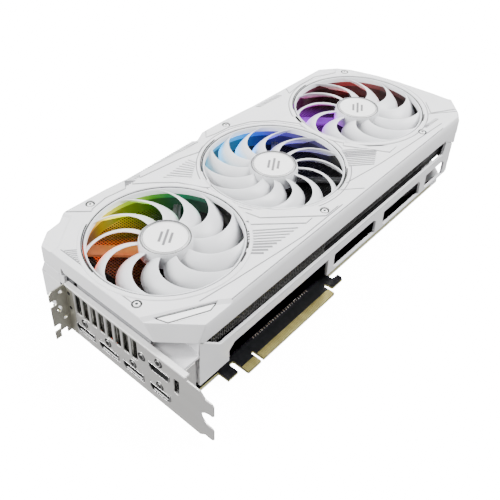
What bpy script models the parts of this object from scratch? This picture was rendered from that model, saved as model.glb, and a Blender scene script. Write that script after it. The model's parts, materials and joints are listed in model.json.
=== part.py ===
"""Graphics card with three fans, lying on its backplate.

Design frame, in millimetres: X runs along the card from the outer face of the
bracket to the tail, Y runs from the edge connector (negative) past the bracket
ear (Y = 0) to the power sockets, and Z runs from the backplate up to the fans.
The empty "card_datum" carries that frame and puts the world origin at the
bottom centre of the whole card.
"""

import math

import bmesh
import bpy

MM = 0.001

# Overall sizes
CARD_LENGTH = 319.0
FACE_Z = 57.8
TOP_EDGE_Y = 34.4
GAP = 0.3

# Circuit board
BOARD_TOP = 5.8
BOARD_THICKNESS = 1.6
BOARD_BOTTOM_Y = -92.5
BOARD_TOP_Y = 20.0
BOARD_END_X = 275.0
FINGER_Y = -105.45
KEY_X = 57.45
KEY_WIDTH = 1.9
SHORT_SEGMENT = 11.65
LONG_SEGMENT = 71.65
CONTACT_HEIGHT = 5.4
CONTACT_THICKNESS = 0.12
CONTACT_GAP = 0.06

# Bracket
BRACKET_HEIGHT = 120.02
PLATE_THICKNESS = 0.86
PLATE_TOP_Z = 39.2
EAR_DEPTH = 11.43
SLOT_PITCH = 20.32
TONGUE_WIDTH = 10.19
UPPER_TONGUE_Z = 33.8
NOTCH_WIDTH = 4.7
NOTCH_DEPTH = 4.3
VENT_COUNT = 8
VENT_PITCH = 6.92
VENT_WIDTH = 5.0
FIRST_VENT_Y = -11.9
VENT_Z = (21.0, 34.6)

# Sockets on the bracket
SOCKET_Z = BOARD_TOP + GAP
SOCKET_WALL = 0.7
SOCKET_DEPTH = 15.0
CAVITY_DEPTH = 11.5
SOCKET_FACE_X = -0.2
DISPLAY_SOCKETS_Y = (-15.9, -37.0, -58.1)
DISPLAY_SOCKET_SIZE = (17.0, 6.0)
SCREEN_SOCKET_Y = -80.0
SCREEN_SOCKET_SIZE = (16.0, 6.0)
UPPER_SOCKET_Z = 23.2

# Fans
FAN_X = (55.1, 156.45, 257.8)
FAN_Y = -29.9
FAN_TURN = (1, -1, 1)
FAN_REST = (-13.0, -2.0, -17.0)
BLADE_COUNTS = (11, 13, 11)
OPENING_RADIUS = 49.05
COLLAR_RADIUS = 50.3
COLLAR_BOTTOM_Z = 43.5
RING_RADII = (46.5, 48.2)
RING_Z = (53.0, 57.3)
HUB_RADIUS = 16.2
HUB_WALL = 1.8
HUB_Z = (46.0, 56.2)
HUB_ROOF = 1.6
CAP_RADIUS = 14.4
CAP_Z = (56.5, 57.6)
SHAFT_RADIUS = 1.5
SHAFT_CLEARANCE = 0.1
SHAFT_BOTTOM_Z = 44.0
STATOR_RADIUS = 13.4
STATOR_TOP_Z = 54.0
BASE_RADIUS = 15.5
STRUT_Z = (41.2, 43.2)
STRUT_WIDTH = 5.0
STRUT_OFFSET = 3.0
STRUT_ANGLES = (-49.0, 41.0, 221.0)
LIGHT_BAR_ANGLE = 131.0
LIGHT_BAR_WIDTH = 9.0
LIGHT_BAR_SPAN = (16.0, 48.0)
BLADE_THICKNESS = 1.5
BLADE_STATIONS = 5
CHORD_STATIONS = 4

# White covers
COVER_BOTTOM_Z = 43.0
COVER_SHOULDER_Z = 54.0
COVER_WALL = 2.0
FACE_THICKNESS = 2.4
SIDE_Y = -94.4
SIDE_THICKNESS = 1.9
STRIP_TOP_Z = 31.5
WINDOW_Z = (11.6, 24.0)
WINDOWS_X = ((142.5, 191.5), (201.5, 251.5), (259.5, 287.0))
SHELF_Z = (34.6, 36.4)
SCREWS = ((44.5, 27.0), (170.8, 26.6), (297.8, 9.8), (7.0, -57.6), (139.0, -85.0), (260.7, -84.0))
SCREW_HEAD_RADIUS = 2.6
SCREW_SHANK_RADIUS = 1.25
SCREW_BOTTOM_Z = 51.0

# Outline of the face, and of the side walls below its shoulder
FACE_OUTLINE = (
    (1.2, -73.0), (20.0, -93.0), (298.0, -92.8), (305.0, -88.6), (317.6, -76.6),
    (317.3, -60.0), (315.2, -31.0), (312.4, -13.0), (307.4, 4.6), (299.2, 18.4),
    (287.2, 28.0), (205.0, 30.2), (176.0, 32.4), (152.5, 33.0), (143.0, 28.6),
    (76.0, 30.6), (60.0, 32.0), (28.4, 33.0), (21.4, 27.6), (11.0, 26.0), (1.2, 18.4),
)
WALL_OUTLINE = (
    (1.2, -75.6), (18.2, SIDE_Y), (298.6, SIDE_Y), (306.2, -89.8), (CARD_LENGTH, -77.4),
    (318.7, -60.0), (316.6, -30.8), (313.8, -12.6), (308.6, 5.4), (300.2, 19.6),
    (287.8, 29.4), (205.2, 31.6), (176.2, 33.8), (152.0, TOP_EDGE_Y), (142.8, 30.0),
    (76.0, 32.0), (60.0, 33.4), (28.0, TOP_EDGE_Y), (20.8, 29.0), (10.6, 27.4), (1.2, 19.8),
)
INSERT_OUTLINE = ((7.2, -72.9), (8.5, -80.0), (28.0, -90.9), (34.4, -89.3))

# Cooler
FIN_Z = (18.6, 40.6)
FIN_SPINE = 1.8
FIN_X = (22.0, 290.0)
FIN_Y = (-91.0, 26.0)
FIN_PITCH = 4.0
FIN_THICKNESS = 1.2
PIPE_RADIUS = 3.0
PIPE_Z = 15.2
PIPES_Y = (-66.0, -52.0, -38.0, -24.0, -10.0)
PIPE_X = (26.0, 284.0)
COLD_PLATE_Z = (8.9, 11.9)
CHIP_X = (104.0, 148.0)
CHIP_Y = (-60.0, -16.0)
MEMORY_SIZE = (14.0, 12.0, 1.2)
CHOKE_TOP_Z = 11.8

# Power side
POWER_SOCKETS_X = (181.0, 203.0)
POWER_SOCKET_SIZE = (18.8, 14.6, 10.8)
POWER_CAVITY = (16.4, 10.4, 8.4)
POWER_FACE_Y = 27.0
SWITCH_X = 120.0
SWITCH_TRAVEL = 2.0
LIGHT_STRIP_X = (214.0, 276.0)
LIGHT_STRIP_Z = (22.0, 33.0)

# Back
BACKPLATE_THICKNESS = 1.4
BACKPLATE_OUTLINE = (
    (1.8, -91.0), (289.0, -91.0), (300.0, -86.4), (311.6, -74.6), (310.4, -30.0),
    (302.6, 2.0), (295.0, 14.6), (283.0, 24.6), (24.0, 28.6), (11.0, 23.4), (1.8, 16.0),
)
TAIL_VENTS = 6
TAIL_VENT_PITCH = 11.0


# ---------------------------------------------------------------- solids

def merged(*solids):
    """Put several closed solids into one list of points and faces."""
    points = []
    faces = []
    for solid_points, solid_faces in solids:
        start = len(points)
        points += solid_points
        faces += [[index + start for index in face] for face in solid_faces]
    return points, faces


def loft(rings):
    """Join rings of equally many points, in order, and cap the two ends."""
    count = len(rings[0])
    points = [tuple(point) for ring in rings for point in ring]
    faces = [list(range(count))[::-1]]
    for level in range(len(rings) - 1):
        low = level * count
        high = low + count
        for index in range(count):
            after = (index + 1) % count
            faces.append([low + index, low + after, high + after, high + index])
    last = (len(rings) - 1) * count
    faces.append([last + index for index in range(count)])
    return points, faces


def prism(outline, low, high, axis="z"):
    """Extrude an outline along an axis.

    The outline is (x, y) for z, (x, z) for y and (y, z) for x.
    """
    placed = {
        "z": lambda a, b, c: (a, b, c),
        "y": lambda a, b, c: (a, c, b),
        "x": lambda a, b, c: (c, a, b),
    }[axis]
    return loft([[placed(a, b, level) for a, b in outline] for level in (low, high)])


def box(x, y, z):
    """A block between pairs of X, Y and Z values."""
    outline = ((x[0], y[0]), (x[1], y[0]), (x[1], y[1]), (x[0], y[1]))
    return prism(outline, z[0], z[1])


def circle(radius, count, centre=(0.0, 0.0)):
    """Points of a circle, anticlockwise."""
    step = 2 * math.pi / count
    return [
        (centre[0] + radius * math.cos(i * step), centre[1] + radius * math.sin(i * step))
        for i in range(count)
    ]


def rod(radius, low, high, centre=(0.0, 0.0), count=24, axis="z"):
    """A round bar along an axis."""
    return prism(circle(radius, count, centre), low, high, axis)


def turned(profile, count):
    """Turn a profile of (radius, z) about Z; it starts and ends on the axis."""
    points = [(0.0, 0.0, profile[0][1])]
    for radius, z in profile[1:-1]:
        points += [(x, y, z) for x, y in circle(radius, count)]
    points.append((0.0, 0.0, profile[-1][1]))
    last = len(points) - 1
    rings = len(profile) - 2
    faces = []
    for index in range(count):
        after = (index + 1) % count
        faces.append([0, 1 + index, 1 + after])
        for ring in range(rings - 1):
            upper = 1 + ring * count
            lower = upper + count
            faces.append([upper + index, lower + index, lower + after, upper + after])
        final = 1 + (rings - 1) * count
        faces.append([final + index, last, final + after])
    return points, faces


def tube(radii, levels, count):
    """A round tube with square ends."""
    inner, outer = radii
    low, high = levels
    section = ((inner, low), (outer, low), (outer, high), (inner, high))
    points = [(*spot, z) for radius, z in section for spot in circle(radius, count)]
    faces = []
    for side in range(4):
        first = side * count
        second = ((side + 1) % 4) * count
        for index in range(count):
            after = (index + 1) % count
            faces.append([first + index, first + after, second + after, second + index])
    return points, faces


def turned_about(solid, degrees):
    """Turn a solid about the Z axis."""
    angle = math.radians(degrees)
    cosine = math.cos(angle)
    sine = math.sin(angle)
    points = [(x * cosine - y * sine, x * sine + y * cosine, z) for x, y, z in solid[0]]
    return points, solid[1]


# --------------------------------------------------------------- objects

def clear_scene():
    for item in list(bpy.data.objects):
        bpy.data.objects.remove(item, do_unlink=True)


def material(name, colour, roughness, metallic=0.0):
    """A plain Principled BSDF material."""
    made = bpy.data.materials.new(name)
    made.use_nodes = True
    shader = made.node_tree.nodes["Principled BSDF"]
    shader.inputs["Base Color"].default_value = (*colour, 1.0)
    shader.inputs["Roughness"].default_value = roughness
    shader.inputs["Metallic"].default_value = metallic
    made.diffuse_color = (*colour, 1.0)
    return made


def mesh_of(name, solid):
    """A mesh in metres from a solid in millimetres, with its faces pointing out."""
    mesh = bpy.data.meshes.new(name)
    shape = bmesh.new()
    corners = [shape.verts.new([value * MM for value in point]) for point in solid[0]]
    for face in solid[1]:
        shape.faces.new([corners[index] for index in face])
    bmesh.ops.recalc_face_normals(shape, faces=shape.faces)
    shape.to_mesh(mesh)
    shape.free()
    return mesh


def place(name, mesh, parent, location):
    made = bpy.data.objects.new(name, mesh)
    made.parent = parent
    made.location = [value * MM for value in location]
    bpy.context.scene.collection.objects.link(made)
    return made


def piece(name, solid, surface, parent, location=(0.0, 0.0, 0.0), smooth=False):
    """A named sub-part with its own material."""
    mesh = mesh_of(name, solid)
    mesh.materials.append(surface)
    if smooth:
        mesh.shade_smooth()
        mesh.set_sharp_from_angle(angle=math.radians(35))
    return place(name, mesh, parent, location)


def combine(target, solid, operation, label):
    """Join a solid to a sub-part, or cut it away, with a Boolean modifier."""
    tool = place(target.name + "_" + label, mesh_of(label, solid), target.parent, (0, 0, 0))
    tool.location = target.location
    tool.hide_render = True
    tool.display_type = "WIRE"
    change = target.modifiers.new(label, "BOOLEAN")
    change.operation = operation
    change.solver = "EXACT"
    change.object = tool


def join(target, solid, label):
    combine(target, solid, "UNION", label)


def cut(target, solid, label):
    combine(target, solid, "DIFFERENCE", label)


# ---------------------------------------------------------------- covers

def inset_outline(outline, distance):
    """Move every edge of an anticlockwise outline inwards by a distance."""
    inner = []
    count = len(outline)
    for index in range(count):
        before = outline[index - 1]
        here = outline[index]
        after = outline[(index + 1) % count]
        lines = []
        for start, end in ((before, here), (here, after)):
            length = math.dist(start, end)
            normal = ((start[1] - end[1]) / length, (end[0] - start[0]) / length)
            lines.append((normal, normal[0] * here[0] + normal[1] * here[1] + distance))
        (a, p), (b, q) = lines
        spread = a[0] * b[1] - a[1] * b[0]
        inner.append(((p * b[1] - q * a[1]) / spread, (a[0] * q - b[0] * p) / spread))
    return inner


def front_cover(white, datum):
    """White face with three fan openings and walls down to the side gap."""
    rings = [
        [(x, y, COVER_BOTTOM_Z) for x, y in WALL_OUTLINE],
        [(x, y, COVER_SHOULDER_Z) for x, y in WALL_OUTLINE],
        [(x, y, FACE_Z) for x, y in FACE_OUTLINE],
    ]
    cover = piece("front_cover", loft(rings), white, datum)
    inside = inset_outline(WALL_OUTLINE, COVER_WALL)
    cut(cover, prism(inside, COVER_BOTTOM_Z - 5, FACE_Z - FACE_THICKNESS), "hollow")
    collars = [
        rod(COLLAR_RADIUS, COLLAR_BOTTOM_Z, FACE_Z - 1.0, (x, FAN_Y), 64) for x in FAN_X
    ]
    join(cover, merged(*collars), "collars")
    skirt = (
        (282.0, COVER_BOTTOM_Z + 2), (282.6, COVER_BOTTOM_Z - 0.4), (295.6, 35.6),
        (297.6, 35.6), (297.6, COVER_BOTTOM_Z + 2),
    )
    join(cover, prism(skirt, SIDE_Y, SIDE_Y + SIDE_THICKNESS, "y"), "skirt")
    openings = [rod(OPENING_RADIUS, 30.0, 70.0, (x, FAN_Y), 64) for x in FAN_X]
    cut(cover, merged(*openings), "fan_openings")
    corner = ((10.0, 46.6), (18.0, 46.6), (22.0, COVER_BOTTOM_Z - 1), (10.0, COVER_BOTTOM_Z - 1))
    notch = prism(corner, -100.0, -70.0, "y")
    pocket = prism(inset_outline(INSERT_OUTLINE, -GAP), FACE_Z - 1.1, FACE_Z + 3)
    heads = [rod(SCREW_HEAD_RADIUS + 0.4, FACE_Z - 1.5, 70.0, spot, 20) for spot in SCREWS]
    shanks = [rod(SCREW_SHANK_RADIUS + 0.35, 50.0, FACE_Z - 1.0, spot, 12) for spot in SCREWS]
    cut(cover, merged(notch, pocket, *heads), "recesses")
    cut(cover, merged(*shanks), "screw_holes")
    return cover


def corner_insert(silver, datum):
    """Silver trim plate let into the face beside the bracket."""
    solid = prism(INSERT_OUTLINE, FACE_Z - 0.9, FACE_Z)
    return piece("corner_insert", solid, silver, datum)


def cover_screws(steel, datum):
    """Six screws that hold the face."""
    profile = (
        (0.0, FACE_Z), (SCREW_HEAD_RADIUS - 0.5, FACE_Z), (SCREW_HEAD_RADIUS, FACE_Z - 0.5),
        (SCREW_HEAD_RADIUS, FACE_Z - 1.2), (SCREW_SHANK_RADIUS, FACE_Z - 1.2),
        (SCREW_SHANK_RADIUS, SCREW_BOTTOM_Z), (0.0, SCREW_BOTTOM_Z),
    )
    for number, (x, y) in enumerate(SCREWS, 1):
        name = "cover_screw_" + str(number)
        piece(name, turned(profile, 12), steel, datum, (x, y, 0.0), smooth=True)


def slot_side_frame(white, datum):
    """White wall on the connector side, with its windows, shelf and tail wall."""
    outline = (
        (16.5, 11.3), (40.5, 11.3), (40.5, 19.5), (45.0, 23.6), (135.5, 24.0), (135.5, 9.8),
        (292.4, 9.8), (294.4, 20.0), (295.2, 35.2), (283.4, 41.8), (281.4, STRIP_TOP_Z),
        (33.4, STRIP_TOP_Z), (22.0, 42.2), (17.9, 46.1), (16.5, 46.1),
    )
    back_y = SIDE_Y + SIDE_THICKNESS
    frame = piece("slot_side_frame", prism(outline, SIDE_Y, back_y, "y"), white, datum)
    shelf = box((1.6, 18.3), (SIDE_Y + 0.2, -64.0), SHELF_Z)
    web = box((16.7, 18.4), (SIDE_Y + 0.4, -64.0), (11.5, SHELF_Z[1] - 0.4))
    join(frame, shelf, "shelf")
    join(frame, web, "web")
    outside = (
        (291.0, SIDE_Y + 0.3), (294.6, SIDE_Y + 0.3), (303.6, -89.4), (315.6, -76.6),
        (313.4, -31.0), (305.6, 4.0), (297.8, 16.6),
    )
    inside = (
        (296.0, 15.4), (303.6, 3.2), (311.4, -31.2), (313.6, -75.8), (302.4, -87.8),
        (293.8, SIDE_Y + 2.2), (291.0, SIDE_Y + 2.2),
    )
    join(frame, prism(outside + inside, 9.9, 35.0), "tail_wall")
    windows = [box(x, (SIDE_Y - 3, back_y + 2), WINDOW_Z) for x in WINDOWS_X]
    vents = [
        box((308.0, 320.0), (-70.0 + 16.0 * step, -58.0 + 16.0 * step), (16.0, 30.0))
        for step in range(3)
    ]
    cut(frame, merged(*windows, *vents), "windows")
    return frame


def power_side_frame(white, datum):
    """White wall on the power side and round the bracket corner, open over the sockets."""
    wall_y = (26.6, 28.6)
    outline = (
        (24.0, 8.0), (104.0, 8.0), (108.0, 14.0), (132.0, 14.0), (136.0, 8.0), (168.0, 8.0),
        (168.0, 18.4), (216.0, 18.4), (216.0, 8.0), (284.0, 8.0), (284.0, 42.6), (24.0, 42.6),
    )
    corner = (
        (24.6, 28.5), (20.4, 28.5), (10.4, 26.9), (1.4, 19.5), (1.4, 0.8), (3.3, 0.8),
        (3.3, 18.6), (11.1, 25.0), (21.0, 26.7), (24.6, 26.7),
    )
    frame = piece("power_side_frame", prism(outline, *wall_y, "y"), white, datum)
    join(frame, prism(corner, 8.1, 42.5), "bracket_corner")
    flange = box((24.2, 283.8), (24.0, 27.6), (41.2, 42.4))
    join(frame, flange, "flange")
    spans = ((32.0, 96.0), (104.0, 158.0))
    windows = [box(span, (20.0, 32.0), (20.0, 38.0)) for span in spans]
    cut(frame, merged(*windows), "windows")
    return frame


def light_strip(diffuser, datum):
    """Light strip on the power side; it carries no lettering."""
    (x0, x1), (z0, z1) = LIGHT_STRIP_X, LIGHT_STRIP_Z
    outline = ((x0, z0), (x1 - 8, z0), (x1, z1), (x0 + 8, z1))
    return piece("light_strip", prism(outline, 28.9, 30.3, "y"), diffuser, datum)


# ------------------------------------------------------------------ fans

def blend(start, end, share):
    return start + (end - start) * share


def blade_point(share, chord, spacing, turn):
    """A point on a blade's upper face.

    Share runs from hub to ring and chord from the front edge to the rear one.
    """
    radius = blend(HUB_RADIUS - 0.8, RING_RADII[0] + 0.7, share)
    sweep = math.radians(blend(-7.0, 31.0, share ** 1.7) + 7.0 * (1 - share) ** 3)
    width = spacing * blend(0.85, 0.6, share)
    angle = turn * (sweep - width * chord)
    front_z = blend(55.0, 56.2, share)
    rear_z = blend(50.4, 47.8, math.sqrt(share))
    camber = 0.9 * math.sin(math.pi * chord)
    return (
        radius * math.cos(angle), radius * math.sin(angle),
        blend(front_z, rear_z, chord) + camber,
    )


def fan_blade(spacing, turn):
    """One swept blade as a closed solid."""
    upper = [
        [
            blade_point(i / (BLADE_STATIONS - 1), j / (CHORD_STATIONS - 1), spacing, turn)
            for j in range(CHORD_STATIONS)
        ]
        for i in range(BLADE_STATIONS)
    ]
    rings = [
        row + [(x, y, z - BLADE_THICKNESS) for x, y, z in reversed(row)] for row in upper
    ]
    points, faces = loft(rings)
    strips = []
    count = 2 * CHORD_STATIONS
    for first in (0, (BLADE_STATIONS - 1) * count):
        for j in range(CHORD_STATIONS - 1):
            mirrored = count - 1 - j
            strips.append([first + j, first + j + 1, first + mirrored - 1, first + mirrored])
    return points, faces[1:-1] + strips


def fan_rotor(number, white, bearing):
    """Hub with shaft, swept blades and outer ring, on the fan's axis."""
    x, turn, count = FAN_X[number - 1], FAN_TURN[number - 1], BLADE_COUNTS[number - 1]
    hub_low, hub_high = HUB_Z
    inner = HUB_RADIUS - HUB_WALL
    profile = (
        (0.0, hub_high), (HUB_RADIUS - 0.6, hub_high), (HUB_RADIUS, hub_high - 0.6),
        (HUB_RADIUS, hub_low), (inner, hub_low), (inner, hub_high - HUB_ROOF),
        (SHAFT_RADIUS, hub_high - HUB_ROOF), (SHAFT_RADIUS, SHAFT_BOTTOM_Z),
        (0.0, SHAFT_BOTTOM_Z),
    )
    rotor = piece(
        "fan_rotor_" + str(number), turned(profile, 32), white, bearing, smooth=True
    )
    spacing = 2 * math.pi / count
    blades = [
        turned_about(fan_blade(spacing, turn), FAN_REST[number - 1] + 360.0 * i / count)
        for i in range(count)
    ]
    join(rotor, merged(*blades), "blades")
    join(rotor, tube(RING_RADII, RING_Z, 56), "ring")
    return rotor


def fan_cap(number, silver, bearing):
    """Round badge plate on the hub, left blank."""
    low, high = CAP_Z
    profile = (
        (0.0, high), (CAP_RADIUS - 0.5, high), (CAP_RADIUS, high - 0.4), (CAP_RADIUS, low),
        (0.0, low),
    )
    return piece("fan_cap_" + str(number), turned(profile, 32), silver, bearing, smooth=True)


def fan_frame(number, black, datum):
    """Motor stator on three struts, with the bore that the shaft turns in."""
    low, high = STRUT_Z
    bore = SHAFT_RADIUS + SHAFT_CLEARANCE
    floor = SHAFT_BOTTOM_Z - 0.4
    profile = (
        (0.0, floor), (bore, floor), (bore, STATOR_TOP_Z), (STATOR_RADIUS, STATOR_TOP_Z),
        (STATOR_RADIUS, high), (BASE_RADIUS, high), (BASE_RADIUS, low), (0.0, low),
    )
    location = (FAN_X[number - 1], FAN_Y, 0.0)
    frame = piece(
        "fan_frame_" + str(number), turned(profile, 32), black, datum, location, smooth=True
    )
    half = STRUT_WIDTH / 2
    struts = []
    for angle, offset in zip(STRUT_ANGLES, (STRUT_OFFSET, -STRUT_OFFSET, STRUT_OFFSET)):
        side = (offset - half, offset + half)
        strut = box((6.0, COLLAR_RADIUS - 2.0), side, (low + 0.1, high - 0.1))
        struts.append(turned_about(strut, angle))
    join(frame, merged(*struts), "struts")
    return frame


def light_bar(number, diffuser, datum):
    """Diffuser bar that lights the fan from behind."""
    half = LIGHT_BAR_WIDTH / 2
    solid = box(LIGHT_BAR_SPAN, (-STRUT_OFFSET - half, -STRUT_OFFSET + half), STRUT_Z)
    location = (FAN_X[number - 1], FAN_Y, 0.0)
    return piece(
        "light_bar_" + str(number), turned_about(solid, LIGHT_BAR_ANGLE), diffuser, datum,
        location,
    )


def fans(paints, datum):
    """Three fans; each rotor and cap hang on an empty on the fan's axis."""
    for number in (1, 2, 3):
        bearing = bpy.data.objects.new("fan_axis_" + str(number), None)
        bearing.parent = datum
        bearing.location = (FAN_X[number - 1] * MM, FAN_Y * MM, 0.0)
        bpy.context.scene.collection.objects.link(bearing)
        fan_rotor(number, paints["fan_plastic"], bearing)
        fan_cap(number, paints["hub_badge"], bearing)
        fan_frame(number, paints["motor_plastic"], datum)
        light_bar(number, paints["light_diffuser"], datum)


# ---------------------------------------------------------------- cooler

def fin_stack(fin_metal, datum):
    """Cooling fins on a common spine, as one comb."""
    low, high = FIN_Z
    count = int((FIN_X[1] - FIN_X[0] - FIN_THICKNESS) / FIN_PITCH) + 1
    comb = []
    for index in range(count):
        start = FIN_X[0] + index * FIN_PITCH
        end = start + FIN_THICKNESS
        comb += [(start, low + FIN_SPINE), (start, high), (end, high), (end, low + FIN_SPINE)]
    outline = comb[1:-1] + [(comb[-1][0], low), (comb[0][0], low)]
    return piece("fin_stack", prism(outline[::-1], *FIN_Y, "y"), fin_metal, datum)


def heat_pipes(nickel, datum):
    """Five heat pipes between the cold plate and the fins."""
    for number, y in enumerate(PIPES_Y, 1):
        solid = rod(PIPE_RADIUS, *PIPE_X, centre=(y, PIPE_Z), count=16, axis="x")
        piece("heat_pipe_" + str(number), solid, nickel, datum, smooth=True)


def processor(paints, datum):
    """Graphics chip on its package, the cold plate, and the memory around it."""
    (x0, x1), (y0, y1) = CHIP_X, CHIP_Y
    base = BOARD_TOP + GAP
    package = piece("gpu_package", box((x0 + 2, x1 - 2), (y0 + 2, y1 - 2), (base, base + 1.5)),
                    paints["chip_green"], datum)
    join(package, box((x0 + 10, x1 - 10), (y0 + 10, y1 - 10), (base + 1.0, base + 2.4)), "die")
    piece("cold_plate", box((x0 - 2, x1 + 2), (y0 - 2, y1 + 2), COLD_PLATE_Z),
          paints["nickel_plate"], datum)
    length, width, height = MEMORY_SIZE
    number = 0
    for column_x in (x0 - 6 - length, x1 + 6):
        for row in range(4):
            number += 1
            low_y = y0 - 5 + row * 14.5
            solid = box((column_x, column_x + length), (low_y, low_y + width), (base, base + height))
            piece("memory_chip_" + str(number), solid, paints["chip_black"], datum)


def choke_banks(choke_grey, datum):
    """Power-stage chokes, one bank on each side of the chip."""
    base = BOARD_TOP + GAP
    for number, x in enumerate((60.0, 178.0), 1):
        outline = []
        for row in range(7):
            low_y = -72.0 + row * 11.0
            outline += [(low_y, CHOKE_TOP_Z), (low_y + 8.4, CHOKE_TOP_Z)]
            if row < 6:
                outline += [(low_y + 8.4, base + 1.6), (low_y + 11.0, base + 1.6)]
        outline += [(outline[-1][0], base), (-72.0, base)]
        solid = prism(outline[::-1], x, x + 9.0, "x")
        piece("choke_bank_" + str(number), solid, choke_grey, datum)


# ----------------------------------------------------------------- board

def circuit_board(board_black, datum):
    """Board with its edge connector, its front tab and its hook."""
    left = KEY_X - KEY_WIDTH / 2
    right = KEY_X + KEY_WIDTH / 2
    start = left - SHORT_SEGMENT
    end = right + LONG_SEGMENT
    key_top = FINGER_Y + 8.4
    outline = (
        (1.8, BOARD_BOTTOM_Y), (33.0, BOARD_BOTTOM_Y), (33.0, -100.7), (41.6, -100.7),
        (41.6, -94.2), (42.6, -93.2), (start - 1.0, -93.2), (start, -94.2),
        (start, FINGER_Y + 0.8), (start + 0.8, FINGER_Y), (left - 0.4, FINGER_Y),
        (left, FINGER_Y + 0.4), (left, key_top), (right, key_top), (right, FINGER_Y + 0.4),
        (right + 0.4, FINGER_Y), (end - 0.8, FINGER_Y), (end, FINGER_Y + 0.8), (end, -97.2),
        (end + 0.8, -96.2), (end + 1.9, -96.2), (end + 2.6, -97.2), (end + 2.6, -100.6),
        (end + 3.6, -101.6), (143.6, -101.6), (145.2, -99.6), (145.2, -96.6), (141.0, -96.6),
        (139.6, -95.2), (139.6, -93.8), (141.0, BOARD_BOTTOM_Y), (BOARD_END_X, BOARD_BOTTOM_Y),
        (BOARD_END_X, BOARD_TOP_Y), (1.8, BOARD_TOP_Y),
    )
    solid = prism(outline, BOARD_TOP - BOARD_THICKNESS, BOARD_TOP)
    return piece("circuit_board", solid, board_black, datum)


def edge_contacts(gold, datum):
    """Gold contact rows on both sides of the key."""
    left = KEY_X - KEY_WIDTH / 2
    right = KEY_X + KEY_WIDTH / 2
    low = BOARD_TOP + CONTACT_GAP
    spans = (
        ("edge_contacts_short", left - SHORT_SEGMENT + 0.9, left - 0.5),
        ("edge_contacts_long", right + 0.5, right + LONG_SEGMENT - 0.9),
    )
    for name, start, end in spans:
        heights = (FINGER_Y + 0.4, FINGER_Y + CONTACT_HEIGHT)
        piece(name, box((start, end), heights, (low, low + CONTACT_THICKNESS)), gold, datum)


def power_sockets(socket_black, datum):
    """Eight-pin power sockets that open towards +Y."""
    width, length, height = POWER_SOCKET_SIZE
    hole_width, hole_depth, hole_height = POWER_CAVITY
    base = BOARD_TOP + GAP
    middle = base + height / 2
    for number, x in enumerate(POWER_SOCKETS_X, 1):
        solid = box((x - width / 2, x + width / 2), (POWER_FACE_Y - length, POWER_FACE_Y),
                    (base, base + height))
        socket = piece("power_socket_" + str(number), solid, socket_black, datum)
        hole = box((x - hole_width / 2, x + hole_width / 2),
                   (POWER_FACE_Y - hole_depth, POWER_FACE_Y + 2),
                   (middle - hole_height / 2, middle + hole_height / 2))
        cut(socket, hole, "cavity")


def fan_headers(header_white, datum):
    """Two small headers at the tail end of the board, open towards +X."""
    base = BOARD_TOP + GAP
    for number, y in enumerate((-78.0, -62.0), 1):
        solid = box((264.0, 273.0), (y, y + 10.4), (base, base + 4.6))
        header = piece("fan_header_" + str(number), solid, header_white, datum)
        cut(header, box((266.0, 276.0), (y + 1.0, y + 9.4), (base + 1.0, base + 3.8)), "cavity")


def firmware_switch(paints, datum):
    """Two-position slide switch on the power edge."""
    base = BOARD_TOP + GAP
    body = piece("firmware_switch_body", box((113.0, 127.0), (19.0, 25.4), (base, base + 5.0)),
                 paints["switch_black"], datum)
    cut(body, box((115.4, 124.6), (21.0, 27.0), (base + 1.4, base + 3.6)), "slot")
    knob_x = SWITCH_X - SWITCH_TRAVEL / 2
    slider = box((-2.2, 2.2), (0.0, 6.4), (-0.8, 0.8))
    location = (knob_x, 21.6, base + 2.5)
    return piece("firmware_switch_slider", slider, paints["switch_white"], datum, location)


# ------------------------------------------------------------------ back

def backplate(metal_white, datum):
    """Backplate with a chip window and vents behind the tail fan."""
    plate = piece("backplate", prism(BACKPLATE_OUTLINE, 0.0, BACKPLATE_THICKNESS),
                  metal_white, datum)
    window = box((101.0, 151.0), (-63.0, -13.0), (-2.0, 4.0))
    vents = [
        box((280.0, 302.0), (-70.0 + step * TAIL_VENT_PITCH, -64.4 + step * TAIL_VENT_PITCH),
            (-2.0, 4.0))
        for step in range(TAIL_VENTS)
    ]
    cut(plate, merged(window, *vents), "openings")
    return plate


def spring_bracket(steel, datum):
    """Cross-shaped spring that pulls the cold plate onto the chip."""
    span = (-31.0, 31.0)
    width = (-4.0, 4.0)
    location = (sum(CHIP_X) / 2, sum(CHIP_Y) / 2, 0.0)
    first_arm = turned_about(box(span, width, (1.8, 2.8)), 45.0)
    second_arm = turned_about(box(span, width, (1.85, 2.85)), 135.0)
    cross = piece("spring_bracket", first_arm, steel, datum, location)
    join(cross, second_arm, "second_arm")
    join(cross, box((-9.0, 9.0), (-9.0, 9.0), (1.9, 2.9)), "centre")
    return cross


# --------------------------------------------------------------- bracket

def plate_outline():
    """Outline of the bracket plate as (y, z), with its two tongues."""
    foot = -BRACKET_HEIGHT
    upper = UPPER_TONGUE_Z
    upper_low = upper - TONGUE_WIDTH
    lower = upper - SLOT_PITCH
    lower_low = lower - TONGUE_WIDTH
    return (
        (0.0, 0.3), (-110.0, 0.3), (-113.6, lower_low), (foot, lower_low), (foot, lower),
        (-116.6, lower), (-112.6, lower + 2.6), (-110.6, lower + 5.4), (-112.6, upper_low - 2.4),
        (-116.6, upper_low), (foot, upper_low), (foot, upper), (-114.2, upper), (-110.6, 37.4),
        (-101.4, 37.4), (-100.2, PLATE_TOP_Z), (0.0, PLATE_TOP_Z),
    )


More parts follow.
